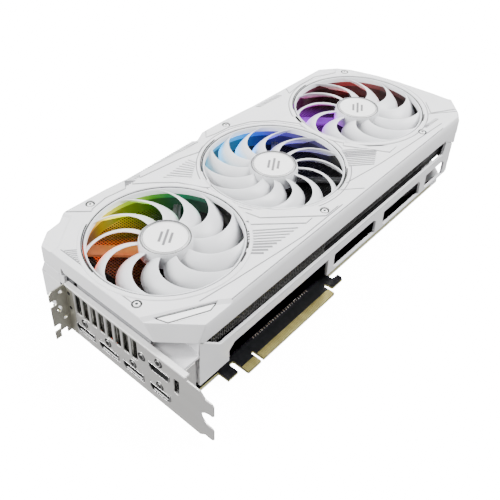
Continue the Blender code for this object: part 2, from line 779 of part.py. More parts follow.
def ear_outline():
    """Outline of the bent ear as (x, z), with its two screw notches."""
    edge = -EAR_DEPTH
    deep = edge + NOTCH_DEPTH
    outline = [(PLATE_THICKNESS, 0.3), (PLATE_THICKNESS, PLATE_TOP_Z), (edge, PLATE_TOP_Z)]
    for middle in (29.4, 29.4 - SLOT_PITCH):
        high = middle + NOTCH_WIDTH / 2
        low = middle - NOTCH_WIDTH / 2
        outline += [(edge, high), (deep, high), (deep, low), (edge, low)]
    outline += [(edge, 0.3), (-7.4, 0.3), (-7.4, 5.0), (-2.8, 5.0), (-2.8, 0.3)]
    return outline[::-1]


def io_bracket(steel, datum):
    """Steel bracket: plate, ear, top fold and side flange in one bent sheet."""
    plate = prism(plate_outline(), 0.0, PLATE_THICKNESS, "x")
    bracket = piece("io_bracket", plate, steel, datum)
    join(bracket, prism(ear_outline(), -PLATE_THICKNESS, 0.02, "y"), "ear")
    join(bracket, box((0.3, 2.8), (-100.0, -4.0), (PLATE_TOP_Z - 0.8, PLATE_TOP_Z + 0.02)), "fold")
    join(bracket, box((0.3, 13.6), (-94.2, -93.3), (13.0, 34.1)), "flange")
    vents = [
        box((-1, 2), (middle - VENT_WIDTH / 2, middle + VENT_WIDTH / 2), VENT_Z)
        for middle in (FIRST_VENT_Y - step * VENT_PITCH for step in range(VENT_COUNT))
    ]
    margin = 0.35
    sockets = []
    for y in DISPLAY_SOCKETS_Y:
        sockets.append((y, SOCKET_Z, DISPLAY_SOCKET_SIZE))
    for z in (SOCKET_Z, UPPER_SOCKET_Z):
        sockets.append((SCREEN_SOCKET_Y, z, SCREEN_SOCKET_SIZE))
    holes = [
        box((-1, 2), (y - size[0] / 2 - margin, y + size[0] / 2 + margin),
            (z - margin, z + size[1] + margin))
        for y, z, size in sockets
    ]
    viewing_slot = box((-1, 2), (-95.2, -91.0), (19.5, 31.0))
    ear_hole = box((-7.4, -3.2), (-3, 2), (20.0, 25.4))
    cut(bracket, merged(*vents, *holes, viewing_slot, ear_hole), "openings")
    return bracket


def socket_solid(y, z, size):
    """Metal shell of a socket and the cavity that opens towards -X."""
    width, height = size
    shell = box((SOCKET_FACE_X, SOCKET_DEPTH), (y - width / 2, y + width / 2), (z, z + height))
    wall = SOCKET_WALL
    cavity = box((SOCKET_FACE_X - 2, SOCKET_FACE_X + CAVITY_DEPTH),
                 (y - width / 2 + wall, y + width / 2 - wall), (z + wall, z + height - wall))
    return shell, cavity


def sockets(nickel, datum):
    """Three display sockets in a row, and two screen sockets one above the other."""
    for number, y in enumerate(DISPLAY_SOCKETS_Y, 1):
        shell, cavity = socket_solid(y, SOCKET_Z, DISPLAY_SOCKET_SIZE)
        socket = piece("display_socket_" + str(number), shell, nickel, datum)
        cut(socket, cavity, "cavity")
    for name, z in (("screen_socket_lower", SOCKET_Z), ("screen_socket_upper", UPPER_SOCKET_Z)):
        shell, cavity = socket_solid(SCREEN_SOCKET_Y, z, SCREEN_SOCKET_SIZE)
        socket = piece(name, shell, nickel, datum)
        if z > SOCKET_Z:
            leg = box((9.0, SOCKET_DEPTH - 0.2), (-86.0, -74.0), (SOCKET_Z + 7.0, z + 0.6))
            join(socket, leg, "leg")
        cut(socket, cavity, "cavity")


# ------------------------------------------------------------------ card

def palette():
    """Every material of the card."""
    return {
        "cover_white": material("cover_white", (0.86, 0.86, 0.87), 0.42),
        "fan_plastic": material("fan_plastic", (0.84, 0.85, 0.87), 0.4),
        "hub_badge": material("hub_badge", (0.80, 0.81, 0.82), 0.35),
        "motor_plastic": material("motor_plastic", (0.05, 0.05, 0.055), 0.5),
        "light_diffuser": material("light_diffuser", (0.70, 0.70, 0.74), 0.5),
        "silver_trim": material("silver_trim", (0.78, 0.78, 0.79), 0.3, 0.6),
        "screw_steel": material("screw_steel", (0.72, 0.72, 0.73), 0.3, 1.0),
        "fin_metal": material("fin_metal", (0.03, 0.03, 0.032), 0.45, 0.6),
        "nickel_plate": material("nickel_plate", (0.62, 0.60, 0.57), 0.25, 1.0),
        "chip_green": material("chip_green", (0.05, 0.12, 0.07), 0.5),
        "chip_black": material("chip_black", (0.02, 0.02, 0.02), 0.5),
        "choke_grey": material("choke_grey", (0.12, 0.12, 0.13), 0.6),
        "board_black": material("board_black", (0.012, 0.012, 0.013), 0.4),
        "contact_gold": material("contact_gold", (0.62, 0.50, 0.16), 0.3, 1.0),
        "socket_black": material("socket_black", (0.03, 0.03, 0.03), 0.45),
        "header_white": material("header_white", (0.75, 0.74, 0.70), 0.5),
        "switch_black": material("switch_black", (0.04, 0.04, 0.04), 0.5),
        "switch_white": material("switch_white", (0.80, 0.80, 0.78), 0.5),
        "backplate_white": material("backplate_white", (0.80, 0.80, 0.81), 0.45, 0.2),
        "bracket_steel": material("bracket_steel", (0.68, 0.67, 0.65), 0.3, 1.0),
        "socket_nickel": material("socket_nickel", (0.66, 0.66, 0.66), 0.25, 1.0),
    }


def card_datum():
    """Empty at the bracket's corner; it puts the world origin under the card's middle."""
    datum = bpy.data.objects.new("card_datum", None)
    datum.location = (
        -(CARD_LENGTH - EAR_DEPTH) / 2 * MM, (BRACKET_HEIGHT - TOP_EDGE_Y) / 2 * MM, 0.0
    )
    bpy.context.scene.collection.objects.link(datum)
    return datum


def build_card():
    clear_scene()
    paints = palette()
    datum = card_datum()
    front_cover(paints["cover_white"], datum)
    corner_insert(paints["silver_trim"], datum)
    cover_screws(paints["screw_steel"], datum)
    slot_side_frame(paints["cover_white"], datum)
    power_side_frame(paints["cover_white"], datum)
    light_strip(paints["light_diffuser"], datum)
    fans(paints, datum)
    fin_stack(paints["fin_metal"], datum)
    heat_pipes(paints["nickel_plate"], datum)
    processor(paints, datum)
    choke_banks(paints["choke_grey"], datum)
    circuit_board(paints["board_black"], datum)
    edge_contacts(paints["contact_gold"], datum)
    power_sockets(paints["socket_black"], datum)
    fan_headers(paints["header_white"], datum)
    firmware_switch(paints, datum)
    backplate(paints["backplate_white"], datum)
    spring_bracket(paints["bracket_steel"], datum)
    io_bracket(paints["bracket_steel"], datum)
    sockets(paints["socket_nickel"], datum)


build_card()
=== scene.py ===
"""Detailed look of a three-fan graphics card: pieces, finishes, studio and camera.

Lengths are millimetres in the card's own frame until a mesh is made: X runs from
the bracket's outer face to the tail, Y from the edge connector (negative) past the
bracket ear (0) to the power side, and Z from the backplate up to the fans.
"""

import json
import math

import bmesh
import bpy
from mathutils import Matrix, Vector

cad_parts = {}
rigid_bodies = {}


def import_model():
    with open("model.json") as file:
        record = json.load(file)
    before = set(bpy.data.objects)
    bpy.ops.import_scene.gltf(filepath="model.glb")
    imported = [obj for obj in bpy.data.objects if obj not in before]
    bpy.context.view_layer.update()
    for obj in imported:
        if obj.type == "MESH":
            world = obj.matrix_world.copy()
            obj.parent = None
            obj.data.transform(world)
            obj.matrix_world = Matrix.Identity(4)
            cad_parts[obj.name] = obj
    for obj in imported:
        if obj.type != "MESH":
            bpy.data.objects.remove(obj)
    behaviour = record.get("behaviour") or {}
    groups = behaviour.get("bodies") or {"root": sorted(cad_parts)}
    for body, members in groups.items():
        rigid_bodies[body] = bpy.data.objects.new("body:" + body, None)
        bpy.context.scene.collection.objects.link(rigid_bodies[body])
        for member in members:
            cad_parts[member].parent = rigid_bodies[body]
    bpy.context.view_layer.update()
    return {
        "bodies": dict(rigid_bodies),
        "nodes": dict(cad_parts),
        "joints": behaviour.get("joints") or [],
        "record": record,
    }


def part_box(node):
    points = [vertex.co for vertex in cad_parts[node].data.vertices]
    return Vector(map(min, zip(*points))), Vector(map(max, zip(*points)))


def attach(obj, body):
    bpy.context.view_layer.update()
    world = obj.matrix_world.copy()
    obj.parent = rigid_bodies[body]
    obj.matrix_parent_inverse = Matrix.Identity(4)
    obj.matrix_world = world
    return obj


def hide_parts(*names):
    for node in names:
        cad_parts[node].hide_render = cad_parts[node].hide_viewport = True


MM = 0.001
EAR_DEPTH = 11.43

# Faces of the card
FACE = 57.3
RAISED = 57.9
LOWERED = 55.7
LINE_TOP = FACE + 0.04
SHOULDER = 54.0
COVER_BOTTOM = 43.0
FACET_BOTTOM = 46.4
SIDE_Y = -94.4
WALL = 2.0

# Fans
FAN_X = (55.1, 156.45, 257.8)
FAN_Y = -29.9
FAN_TURN = (1, -1, 1)
FAN_REST = (-13.0, -2.0, -17.0)
BLADE_COUNTS = (11, 13, 11)
OPENING_RADIUS = 49.05
RING_RADII = (46.9, 48.2)
RING_Z = (53.4, 57.2)
HUB_RADIUS = 16.2
STRUT_OFFSET = 3.0
RIM_RADII = (52.2, 50.6, 52.2)
RIM_LINE_RADII = (50.6, 52.2, 52.2)
RIM_SIDES = 128
OPENING_SIDES = 96

# Outlines of the cover, anticlockwise
FACE_OUTLINE = (
    (1.2, -67.7), (23.0, -93.0), (298.0, -92.8), (305.0, -88.6), (317.6, -76.6),
    (317.3, -60.0), (315.2, -31.0), (312.4, -13.0), (307.4, 4.6), (299.2, 18.4),
    (287.2, 28.0), (205.0, 30.2), (176.0, 32.4), (152.5, 33.0), (143.0, 28.6),
    (76.0, 30.6), (60.0, 32.0), (28.4, 33.0), (21.4, 27.6), (11.0, 26.0), (1.2, 18.4),
)
WALL_OUTLINE = (
    (1.2, -76.3), (16.4, SIDE_Y), (298.6, SIDE_Y), (306.2, -89.8), (319.0, -77.4),
    (318.7, -60.0), (316.6, -30.8), (313.8, -12.6), (308.6, 5.4), (300.2, 19.6),
    (287.8, 29.4), (205.2, 31.6), (176.2, 33.8), (152.0, 34.4), (142.8, 30.0),
    (76.0, 32.0), (60.0, 33.4), (28.0, 34.4), (20.8, 29.0), (10.6, 27.4), (1.2, 19.8),
)
SHOULDER_CORNER = ((1.2, -70.4), (21.4, SIDE_Y))
INSERT_OUTLINE = ((8.2, -72.0), (10.2, -78.1), (31.3, -88.3), (36.3, -87.3))
PANELS = (
    ((29.5, 32.4), (60.0, 31.4), (75.5, 30.0), (70.0, 23.0), (55.0, 25.0), (42.0, 22.5),
     (40.5, 20.8)),
    ((155.5, 32.2), (176.0, 31.6), (196.5, 11.0), (216.0, -5.0), (211.5, -13.0),
     (209.3, -12.0), (200.0, 4.0), (186.0, 16.6), (170.0, 23.2), (156.5, 24.4), (149.0, 26.0)),
    ((76.5, 23.4), (82.5, 24.6), (99.5, 8.0), (113.0, -10.5), (108.6, -17.0), (105.6, -14.0),
     (97.5, 3.0), (87.0, 14.0)),
    ((84.5, 25.0), (88.0, 28.6), (130.0, 25.6), (139.5, 20.5), (132.0, 17.0), (118.0, 21.0)),
    ((96.8, -55.0), (101.5, -58.5), (128.0, -83.5), (121.5, -83.8), (98.0, -60.0)),
    ((104.5, -50.0), (109.5, -52.5), (149.0, -88.4), (135.5, -88.6), (106.5, -60.0)),
    ((206.8, -52.0), (211.2, -50.0), (217.5, -66.0), (232.0, -80.0), (222.0, -80.5)),
    ((239.0, 21.5), (243.0, 27.6), (284.5, 26.8), (296.0, 17.8), (291.0, 14.6), (274.0, 22.8),
     (255.0, 23.6)),
    ((288.5, -75.5), (300.0, -64.5), (306.6, -72.0), (314.0, -76.6), (305.5, -86.0)),
)
GROOVES = (
    (((31.0, -80.8), (55.0, -84.0), (95.0, -88.3), (112.0, -89.8), (152.0, -89.6)), 0.85),
    (((172.0, -78.5), (205.0, -83.0), (242.0, -86.0), (281.0, -88.5)), 0.85),
    (((6.2, 7.0), (6.0, -58.0)), 0.75),
    (((162.5, -79.2), (175.5, -90.4)), 0.9),
    (((283.5, -72.6), (304.0, -88.6)), 1.0),
    (((44.0, -92.5), (276.0, -92.4)), 0.7),
)
# Painted shade: angles in degrees of black arcs at the edge of each fan opening
RIM_SHADE_ARCS = (
    ((120.0, 171.0), (286.0, 296.0), (300.0, 318.0)),
    ((97.0, 144.0), (276.0, 306.0)),
    ((90.0, 138.0), (288.0, 300.0)),
)
SCREWS = ((44.5, 27.0), (170.8, 26.6), (297.8, 9.8), (7.0, -57.6), (139.0, -85.0), (260.7, -84.0))

# Board and bracket
BOARD_TOP = 5.8
FINGER_Y = -105.45
KEY_X = 57.45
KEY_WIDTH = 1.9
SHORT_SEGMENT = 11.65
LONG_SEGMENT = 71.65
PLATE_TOP_Z = 39.2
PLATE_THICKNESS = 0.86
DISPLAY_SOCKETS_Y = (-15.9, -37.0, -58.1)
SCREEN_SOCKET_Y = -80.0
SOCKET_Z = 6.1
UPPER_SOCKET_Z = 23.2
BRACKET_SCREWS = (
    (-16.0, 16.5), (-37.0, 16.2), (-58.3, 15.4), (-80.0, 14.6), (-80.0, 33.7), (-66.5, 28.0),
)

# Light of each fan by direction: (degrees, colour); the lens ring's own glow, also painted as
# light on the collar, the low blade edges and the fin tops
FAN_LIGHT = (
    ((0, (0.0, 0.018, 0.011)), (40, (0.0, 0.045, 0.015)), (62, (0.014, 0.085, 0.0)),
     (90, (0.12, 0.19, 0.0)), (105, (0.27, 0.27, 0.003)), (119, (0.42, 0.27, 0.004)),
     (130, (0.20, 0.075, 0.003)), (142, (0.09, 0.02, 0.003)), (150, (0.42, 0.045, 0.004)),
     (160, (0.34, 0.03, 0.004)), (170, (0.03, 0.006, 0.003)), (188, (0.012, 0.003, 0.002)),
     (204, (0.0, 0.0, 0.0)), (345, (0.0, 0.0, 0.0))),
    ((0, (0.006, 0.003, 0.023)), (15, (0.02, 0.014, 0.11)), (40, (0.014, 0.010, 0.15)),
     (60, (0.004, 0.035, 0.28)), (80, (0.001, 0.13, 0.38)), (100, (0.01, 0.15, 0.32)),
     (130, (0.01, 0.06, 0.09)), (155, (0.0, 0.0, 0.0)), (322, (0.0, 0.0, 0.0)),
     (340, (0.015, 0.012, 0.045))),
    ((0, (0.040, 0.006, 0.006)), (20, (0.065, 0.006, 0.006)), (50, (0.075, 0.003, 0.003)),
     (65, (0.025, 0.0015, 0.002)), (85, (0.012, 0.001, 0.002)), (105, (0.035, 0.001, 0.012)),
     (125, (0.05, 0.0015, 0.04)), (142, (0.15, 0.006, 0.28)), (165, (0.13, 0.006, 0.28)),
     (182, (0.03, 0.004, 0.06)), (197, (0.0, 0.0, 0.0)), (320, (0.0, 0.0, 0.0)),
     (345, (0.03, 0.009, 0.009))),
)
BAR_COLOURS = ((0.42, 0.15, 0.06), (0.04, 0.04, 0.05), (0.30, 0.04, 0.60))
# Share of each fan's painted light on the fin tops
FIN_SHARES = (1.8, 0.25, 1.4)
FIN_PITCH = 1.72

# Camera: metres, then heading, tilt and roll in degrees
CAMERA_PLACE = (-0.31365, -0.22788, 0.33907)
CAMERA_ANGLES = (-48.49, 53.22, 0.705)


# ---------------------------------------------------------------- solids

def merged(*solids):
    """Several solids as one list of points and faces."""
    points, faces = [], []
    for solid_points, solid_faces in solids:
        start = len(points)
        points += solid_points
        faces += [[start + index for index in face] for face in solid_faces]
    return points, faces


def loft(rings):
    """A closed solid through rings with the same number of points."""
    count = len(rings[0])
    points = [point for ring in rings for point in ring]
    faces = [list(range(count))[::-1], [len(points) - count + i for i in range(count)]]
    for level in range(len(rings) - 1):
        low, high = level * count, (level + 1) * count
        for i in range(count):
            j = (i + 1) % count
            faces.append([low + i, low + j, high + j, high + i])
    return points, faces


def prism(outline, low, high, axis="z"):
    """An outline pushed along an axis; it holds the other two axes in order."""
    place = {
        "z": lambda a, b, c: (a, b, c),
        "y": lambda a, b, c: (a, c, b),
        "x": lambda a, b, c: (c, a, b),
    }[axis]
    return loft([[place(a, b, level) for a, b in outline] for level in (low, high)])


def box(x, y, z):
    return prism(((x[0], y[0]), (x[1], y[0]), (x[1], y[1]), (x[0], y[1])), z[0], z[1])


def circle(radius, count, centre=(0.0, 0.0)):
    step = 2 * math.pi / count
    return [
        (centre[0] + radius * math.cos(i * step), centre[1] + radius * math.sin(i * step))
        for i in range(count)
    ]


def rod(radius, low, high, centre=(0.0, 0.0), count=32, axis="z"):
    return prism(circle(radius, count, centre), low, high, axis)


def turned(profile, count=96, closed=False):
    """A profile of (radius, height) turned about Z; closed joins its two ends."""
    step = 2 * math.pi / count
    points = [
        (r * math.cos(i * step), r * math.sin(i * step), z)
        for i in range(count) for r, z in profile
    ]
    size = len(profile)
    faces = []
    for i in range(count):
        here, after = i * size, (i + 1) % count * size
        for k in range(size if closed else size - 1):
            m = (k + 1) % size
            faces.append([here + k, after + k, after + m, here + m])
    return points, faces


def turned_about(solid, degrees):
    cosine, sine = math.cos(math.radians(degrees)), math.sin(math.radians(degrees))
    points = [(cosine * x - sine * y, sine * x + cosine * y, z) for x, y, z in solid[0]]
    return points, solid[1]


def shifted(solid, x=0.0, y=0.0, z=0.0):
    return [(a + x, b + y, c + z) for a, b, c in solid[0]], solid[1]


def strip(route, width, low, high):
    """A bar of a given width along a route of (x, y) points, mitred at its bends."""
    sides = []
    for index, (x, y) in enumerate(route):
        before = route[max(index - 1, 0)]
        after = route[min(index + 1, len(route) - 1)]
        length = math.dist(before, after)
        across = ((before[1] - after[1]) / length * width / 2,
                  (after[0] - before[0]) / length * width / 2)
        sides.append(((x - across[0], y - across[1]), (x + across[0], y + across[1])))
    outline = [right for right, _ in sides] + [left for _, left in reversed(sides)]
    return prism(outline, low, high)


def inset_outline(outline, distance):
    """Move every edge of an anticlockwise outline inwards by a distance."""
    inner = []
    count = len(outline)
    for index in range(count):
        lines = []
        for start, end in (
            (outline[index - 1], outline[index]),
            (outline[index], outline[(index + 1) % count]),
        ):
            length = math.dist(start, end)
            normal = ((start[1] - end[1]) / length, (end[0] - start[0]) / length)
            reach = normal[0] * outline[index][0] + normal[1] * outline[index][1] + distance
            lines.append((normal, reach))
        (a, p), (b, q) = lines
        spread = a[0] * b[1] - a[1] * b[0]
        inner.append(((p * b[1] - q * a[1]) / spread, (a[0] * q - b[0] * p) / spread))
    return inner


def ramp_block(outline, low, high, slope):
    """A block whose sides lean outwards towards the top."""
    wide = inset_outline(outline, -slope)
    return loft([
        [(x, y, low) for x, y in outline], [(x, y, high) for x, y in wide],
    ])


# --------------------------------------------------------------- objects

def shape(name, solid, centre=(0.0, 0.0, 0.0)):
    """A new object from a solid, with its faces pointing out."""
    mesh = bpy.data.meshes.new(name)
    mesh.from_pydata([(x * MM, y * MM, z * MM) for x, y, z in solid[0]], [], solid[1])
    work = bmesh.new()
    work.from_mesh(mesh)
    bmesh.ops.remove_doubles(work, verts=work.verts, dist=1e-7)
    bmesh.ops.recalc_face_normals(work, faces=work.faces)
    work.to_mesh(mesh)
    work.free()
    item = bpy.data.objects.new(name, mesh)
    item.location = [a * MM + b for a, b in zip(centre, ORIGIN)]
    bpy.context.scene.collection.objects.link(item)
    return item


def carve(item, solid, operation="DIFFERENCE"):
    """Cut a solid away from an object, or join it on."""
    tool = shape("tool", solid)
    tool.location = item.location
    change = item.modifiers.new("carve", "BOOLEAN")
    change.operation = operation
    change.solver = "EXACT"
    change.object = tool
    bpy.context.view_layer.update()
    graph = bpy.context.evaluated_depsgraph_get()
    mesh = bpy.data.meshes.new_from_object(item.evaluated_get(graph))
    old = item.data
    item.modifiers.clear()
    item.data = mesh
    for unused in (old, tool.data):
        bpy.data.meshes.remove(unused)


def add(item, solid):
    """Add a solid to an object's mesh without a boolean."""
    work = bmesh.new()
    work.from_mesh(item.data)
    other = bpy.data.meshes.new("other")
    other.from_pydata([(x * MM, y * MM, z * MM) for x, y, z in solid[0]], [], solid[1])
    fresh = bmesh.new()
    fresh.from_mesh(other)
    bmesh.ops.recalc_face_normals(fresh, faces=fresh.faces)
    fresh.to_mesh(other)
    fresh.free()
    work.from_mesh(other)
    work.to_mesh(item.data)
    work.free()
    bpy.data.meshes.remove(other)


def round_off(item, width, angle=25.0):
    """Round an object's sharper edges in its mesh."""
    work = bmesh.new()
    work.from_mesh(item.data)
    limit = math.radians(angle)
    edges = [edge for edge in work.edges if edge.calc_face_angle(0.0) > limit]
    bmesh.ops.bevel(work, geom=edges, offset=width * MM, segments=3, profile=0.5,
                    affect="EDGES")
    work.to_mesh(item.data)
    work.free()


def finish(item, surface, nodes=(), body="card", rounding=0.0, sharp=None):
    """Give an object its finish, rounded edges and place on a body."""
    item.data.materials.clear()
    item.data.materials.append(surface)
    item.data.shade_smooth()
    if sharp:
        item.data.set_sharp_from_angle(angle=math.radians(sharp))
        flat = item.modifiers.new("flat_faces_stay_flat", "WEIGHTED_NORMAL")
        flat.keep_sharp = True
    if rounding:
        bevel = item.modifiers.new("rounded_edges", "BEVEL")
        bevel.width = rounding * MM
        bevel.segments = 2
        bevel.limit_method = "ANGLE"
        bevel.angle_limit = math.radians(28)
        bevel.use_clamp_overlap = False
        bevel.harden_normals = True
    if nodes:
        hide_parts(*nodes)
    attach(item, body)
    return item


# -------------------------------------------------------------- finishes

def ramp(tree, source, stops):
    """A colour ramp over (position, colour) stops."""
    node = tree.nodes.new("ShaderNodeValToRGB")
    tree.links.new(source, node.inputs["Fac"])
    elements = node.color_ramp.elements
    while len(elements) < len(stops):
        elements.new(0.5)
    for element, (position, colour) in zip(elements, stops):
        element.position = position
        element.color = (*colour, 1.0)
    return node.outputs["Color"]


def noise(tree, size, detail=2.0, stretch=(1.0, 1.0, 1.0)):
    """Noise with a feature size in millimetres, in the object's own space."""
    place = tree.nodes.new("ShaderNodeTexCoord")
    mapping = tree.nodes.new("ShaderNodeMapping")
    mapping.inputs["Scale"].default_value = stretch
    texture = tree.nodes.new("ShaderNodeTexNoise")
    texture.inputs["Scale"].default_value = 1 / (size * MM)
    texture.inputs["Detail"].default_value = detail
    tree.links.new(place.outputs["Object"], mapping.inputs["Vector"])
    tree.links.new(mapping.outputs["Vector"], texture.inputs["Vector"])
    return texture.outputs["Fac"]


def shaded(colour, share):
    """A colour made darker or lighter by a share."""
    return tuple(max(0.0, min(1.0, channel * share)) for channel in colour)


def surface(name, colour, roughness, metallic=0.0, grain=0.5, bump=0.15, cloud=18.0,
            tint=0.03, stretch=(1.0, 1.0, 1.0)):
    """A material with clouded colour, uneven gloss and a fine grain."""
    paint = bpy.data.materials.new(name)
    paint.use_nodes = True
    tree = paint.node_tree
    shader = tree.nodes["Principled BSDF"]
    shader.inputs["Metallic"].default_value = metallic
    broad = noise(tree, cloud, 3.0, stretch)
    colours = ramp(tree, broad, (
        (0.32, shaded(colour, 1 - tint)), (0.5, colour), (0.68, shaded(colour, 1 + tint)),
    ))
    tree.links.new(colours, shader.inputs["Base Color"])
    fine = noise(tree, grain, 2.0, stretch)
    gloss = tree.nodes.new("ShaderNodeMapRange")
    gloss.inputs["To Min"].default_value = roughness - 0.07
    gloss.inputs["To Max"].default_value = roughness + 0.07
    tree.links.new(fine, gloss.inputs["Value"])
    tree.links.new(gloss.outputs["Result"], shader.inputs["Roughness"])
    relief = tree.nodes.new("ShaderNodeBump")
    relief.inputs["Strength"].default_value = bump
    relief.inputs["Distance"].default_value = 0.05 * MM
    tree.links.new(fine, relief.inputs["Height"])
    tree.links.new(relief.outputs["Normal"], shader.inputs["Normal"])
    return paint


def add_translucence(paint, colour, share):
    """Let some of the light behind a thin plastic part come through."""
    tree = paint.node_tree
    shader = tree.nodes["Principled BSDF"]
    output = tree.nodes["Material Output"]
    through = tree.nodes.new("ShaderNodeBsdfTranslucent")
    through.inputs["Color"].default_value = (*colour, 1.0)
    mix = tree.nodes.new("ShaderNodeMixShader")
    mix.inputs["Fac"].default_value = share
    tree.links.new(shader.outputs["BSDF"], mix.inputs[1])
    tree.links.new(through.outputs["BSDF"], mix.inputs[2])
    tree.links.new(mix.outputs["Shader"], output.inputs["Surface"])


def add_laminate_edge(paint, colour):
    """Show the board's bare laminate on its upright edges."""
    tree = paint.node_tree
    shader = tree.nodes["Principled BSDF"]
    mask = shader.inputs["Base Color"].links[0].from_socket
    geometry = tree.nodes.new("ShaderNodeNewGeometry")
    split = tree.nodes.new("ShaderNodeSeparateXYZ")
    size = tree.nodes.new("ShaderNodeMath")
    size.operation = "ABSOLUTE"
    mix = tree.nodes.new("ShaderNodeMix")
    mix.data_type = "RGBA"
    tree.links.new(geometry.outputs["Normal"], split.inputs["Vector"])
    tree.links.new(split.outputs["Z"], size.inputs[0])
    tree.links.new(size.outputs["Value"], mix.inputs["Factor"])
    mix.inputs["A"].default_value = (*colour, 1.0)
    tree.links.new(mask, mix.inputs["B"])
    tree.links.new(mix.outputs["Result"], shader.inputs["Base Color"])


def light_colour(tree, stops, centre=(0.0, 0.0)):
    """Colour round a fan's axis, and the distance from that axis in metres."""
    place = tree.nodes.new("ShaderNodeTexCoord")
    mapping = tree.nodes.new("ShaderNodeMapping")
    mapping.inputs["Location"].default_value = (-centre[0] * MM, -centre[1] * MM, 0.0)
    split = tree.nodes.new("ShaderNodeSeparateXYZ")
    tree.links.new(place.outputs["Object"], mapping.inputs["Vector"])
    tree.links.new(mapping.outputs["Vector"], split.inputs["Vector"])
    angle = calculate(tree, "ARCTAN2", split.outputs["Y"], split.outputs["X"])
    turns = calculate(tree, "FRACT", calculate(tree, "DIVIDE", angle, 2 * math.pi))
    squares = [calculate(tree, "MULTIPLY", split.outputs[axis], split.outputs[axis])
               for axis in ("X", "Y")]
    distance = calculate(tree, "SQRT", calculate(tree, "ADD", *squares))
    return ramp(tree, turns, [(d / 360, colour) for d, colour in stops]), distance


def calculate(tree, operation, first, second=None):
    """A maths node on sockets or plain numbers."""
    node = tree.nodes.new("ShaderNodeMath")
    node.operation = operation
    for value, socket in zip((first, second), node.inputs):
        if isinstance(value, (int, float)):
            socket.default_value = value
        elif value is not None:
            tree.links.new(value, socket)
    return node.outputs["Value"]


def lit_by_direction(name, stops, strength):
    """A dark milky surface whose glow changes colour round the fan's axis: the lens ring's own
    light, and on the collar the ring's light painted as emission.
    """
    paint = surface(name, (0.02, 0.02, 0.02), 0.5, cloud=12.0, tint=0.3)
    tree = paint.node_tree
    shader = tree.nodes["Principled BSDF"]
    glow, _ = light_colour(tree, stops, (10.0, 8.8))
    tree.links.new(glow, shader.inputs["Emission Color"])
    shader.inputs["Emission Strength"].default_value = strength
    return paint


def lit_bar(name, colour, strength):
    """A tinted diffuser bar that glows in one colour, brighter in patches."""
    paint = surface(name, shaded(colour, 0.5), 0.4, cloud=12.0, tint=0.2)
    tree = paint.node_tree
    shader = tree.nodes["Principled BSDF"]
    patches = ramp(tree, noise(tree, 14.0), (
        (0.35, shaded(colour, 0.45)), (0.65, colour),
    ))
    tree.links.new(patches, shader.inputs["Emission Color"])
    shader.inputs["Emission Strength"].default_value = strength
    return paint


def span(tree, value, start, end, low=0.0, high=1.0):
    """A value in metres mapped from start..end millimetres to low..high."""
    node = tree.nodes.new("ShaderNodeMapRange")
    node.inputs["From Min"].default_value = start * MM
    node.inputs["From Max"].default_value = end * MM
    node.inputs["To Min"].default_value = low
    node.inputs["To Max"].default_value = high
    tree.links.new(value, node.inputs["Value"])
    return node.outputs["Result"]


def scaled(tree, vector, share):
    """A colour or vector times a socket's value."""
    node = tree.nodes.new("ShaderNodeVectorMath")
    node.operation = "SCALE"
    tree.links.new(vector, node.inputs[0])
    tree.links.new(share, node.inputs["Scale"])
    return node.outputs["Vector"]


def height(tree):
    """Height above the card's backplate, in metres."""
    place = tree.nodes.new("ShaderNodeTexCoord")
    split = tree.nodes.new("ShaderNodeSeparateXYZ")
    tree.links.new(place.outputs["Object"], split.inputs["Vector"])
    return split.outputs["Z"]


def add_fan_glow(paint, strength):
    """Painted light: the coloured light of the three fans painted as emission on the top edges of
    the fins.
    """
    tree = paint.node_tree
    shader = tree.nodes["Principled BSDF"]
    total = None
    for x, stops, share in zip(FAN_X, FAN_LIGHT, FIN_SHARES):
        colour, distance = light_colour(tree, stops, (x + 17.4, FAN_Y + 15.4))
        rise = calculate(tree, "POWER", span(tree, distance, 2.0, 48.0), 2.2)
        dimmed = calculate(tree, "MULTIPLY", rise, share)
        reach = calculate(tree, "MULTIPLY", dimmed, span(tree, distance, 50.6, 49.6))
        part = scaled(tree, colour, reach)
        if total is None:
            total = part
        else:
            both = tree.nodes.new("ShaderNodeVectorMath")
            both.operation = "ADD"
            tree.links.new(total, both.inputs[0])
            tree.links.new(part, both.inputs[1])
            total = both.outputs["Vector"]
    # painted light: only the top edges of the fins glow
    edges = scaled(tree, total, span(tree, height(tree), 39.8, 40.2))
    tree.links.new(edges, shader.inputs["Emission Color"])
    shader.inputs["Emission Strength"].default_value = strength


def blade_paint(number, stops):
    """Satin white plastic; the fans' coloured light is painted as emission on the low rear edges.
    """
    paint = surface("fan_white_" + str(number), (0.80, 0.81, 0.83), 0.36, bump=0.06, tint=0.015)
    add_translucence(paint, (0.85, 0.86, 0.9), 0.12)
    tree = paint.node_tree
    shader = tree.nodes["Principled BSDF"]
    # painted light: emission on the low, outer part of each blade, coloured by direction round
    # the axis
    colour, distance = light_colour(tree, stops, (6.0, 5.3))
    low = span(tree, height(tree), 54.0, 50.0)
    outer = span(tree, distance, 17.2, 20.0)
    tree.links.new(scaled(tree, colour, calculate(tree, "MULTIPLY", low, outer)),
                   shader.inputs["Emission Color"])
    shader.inputs["Emission Strength"].default_value = 9.0
    return paint


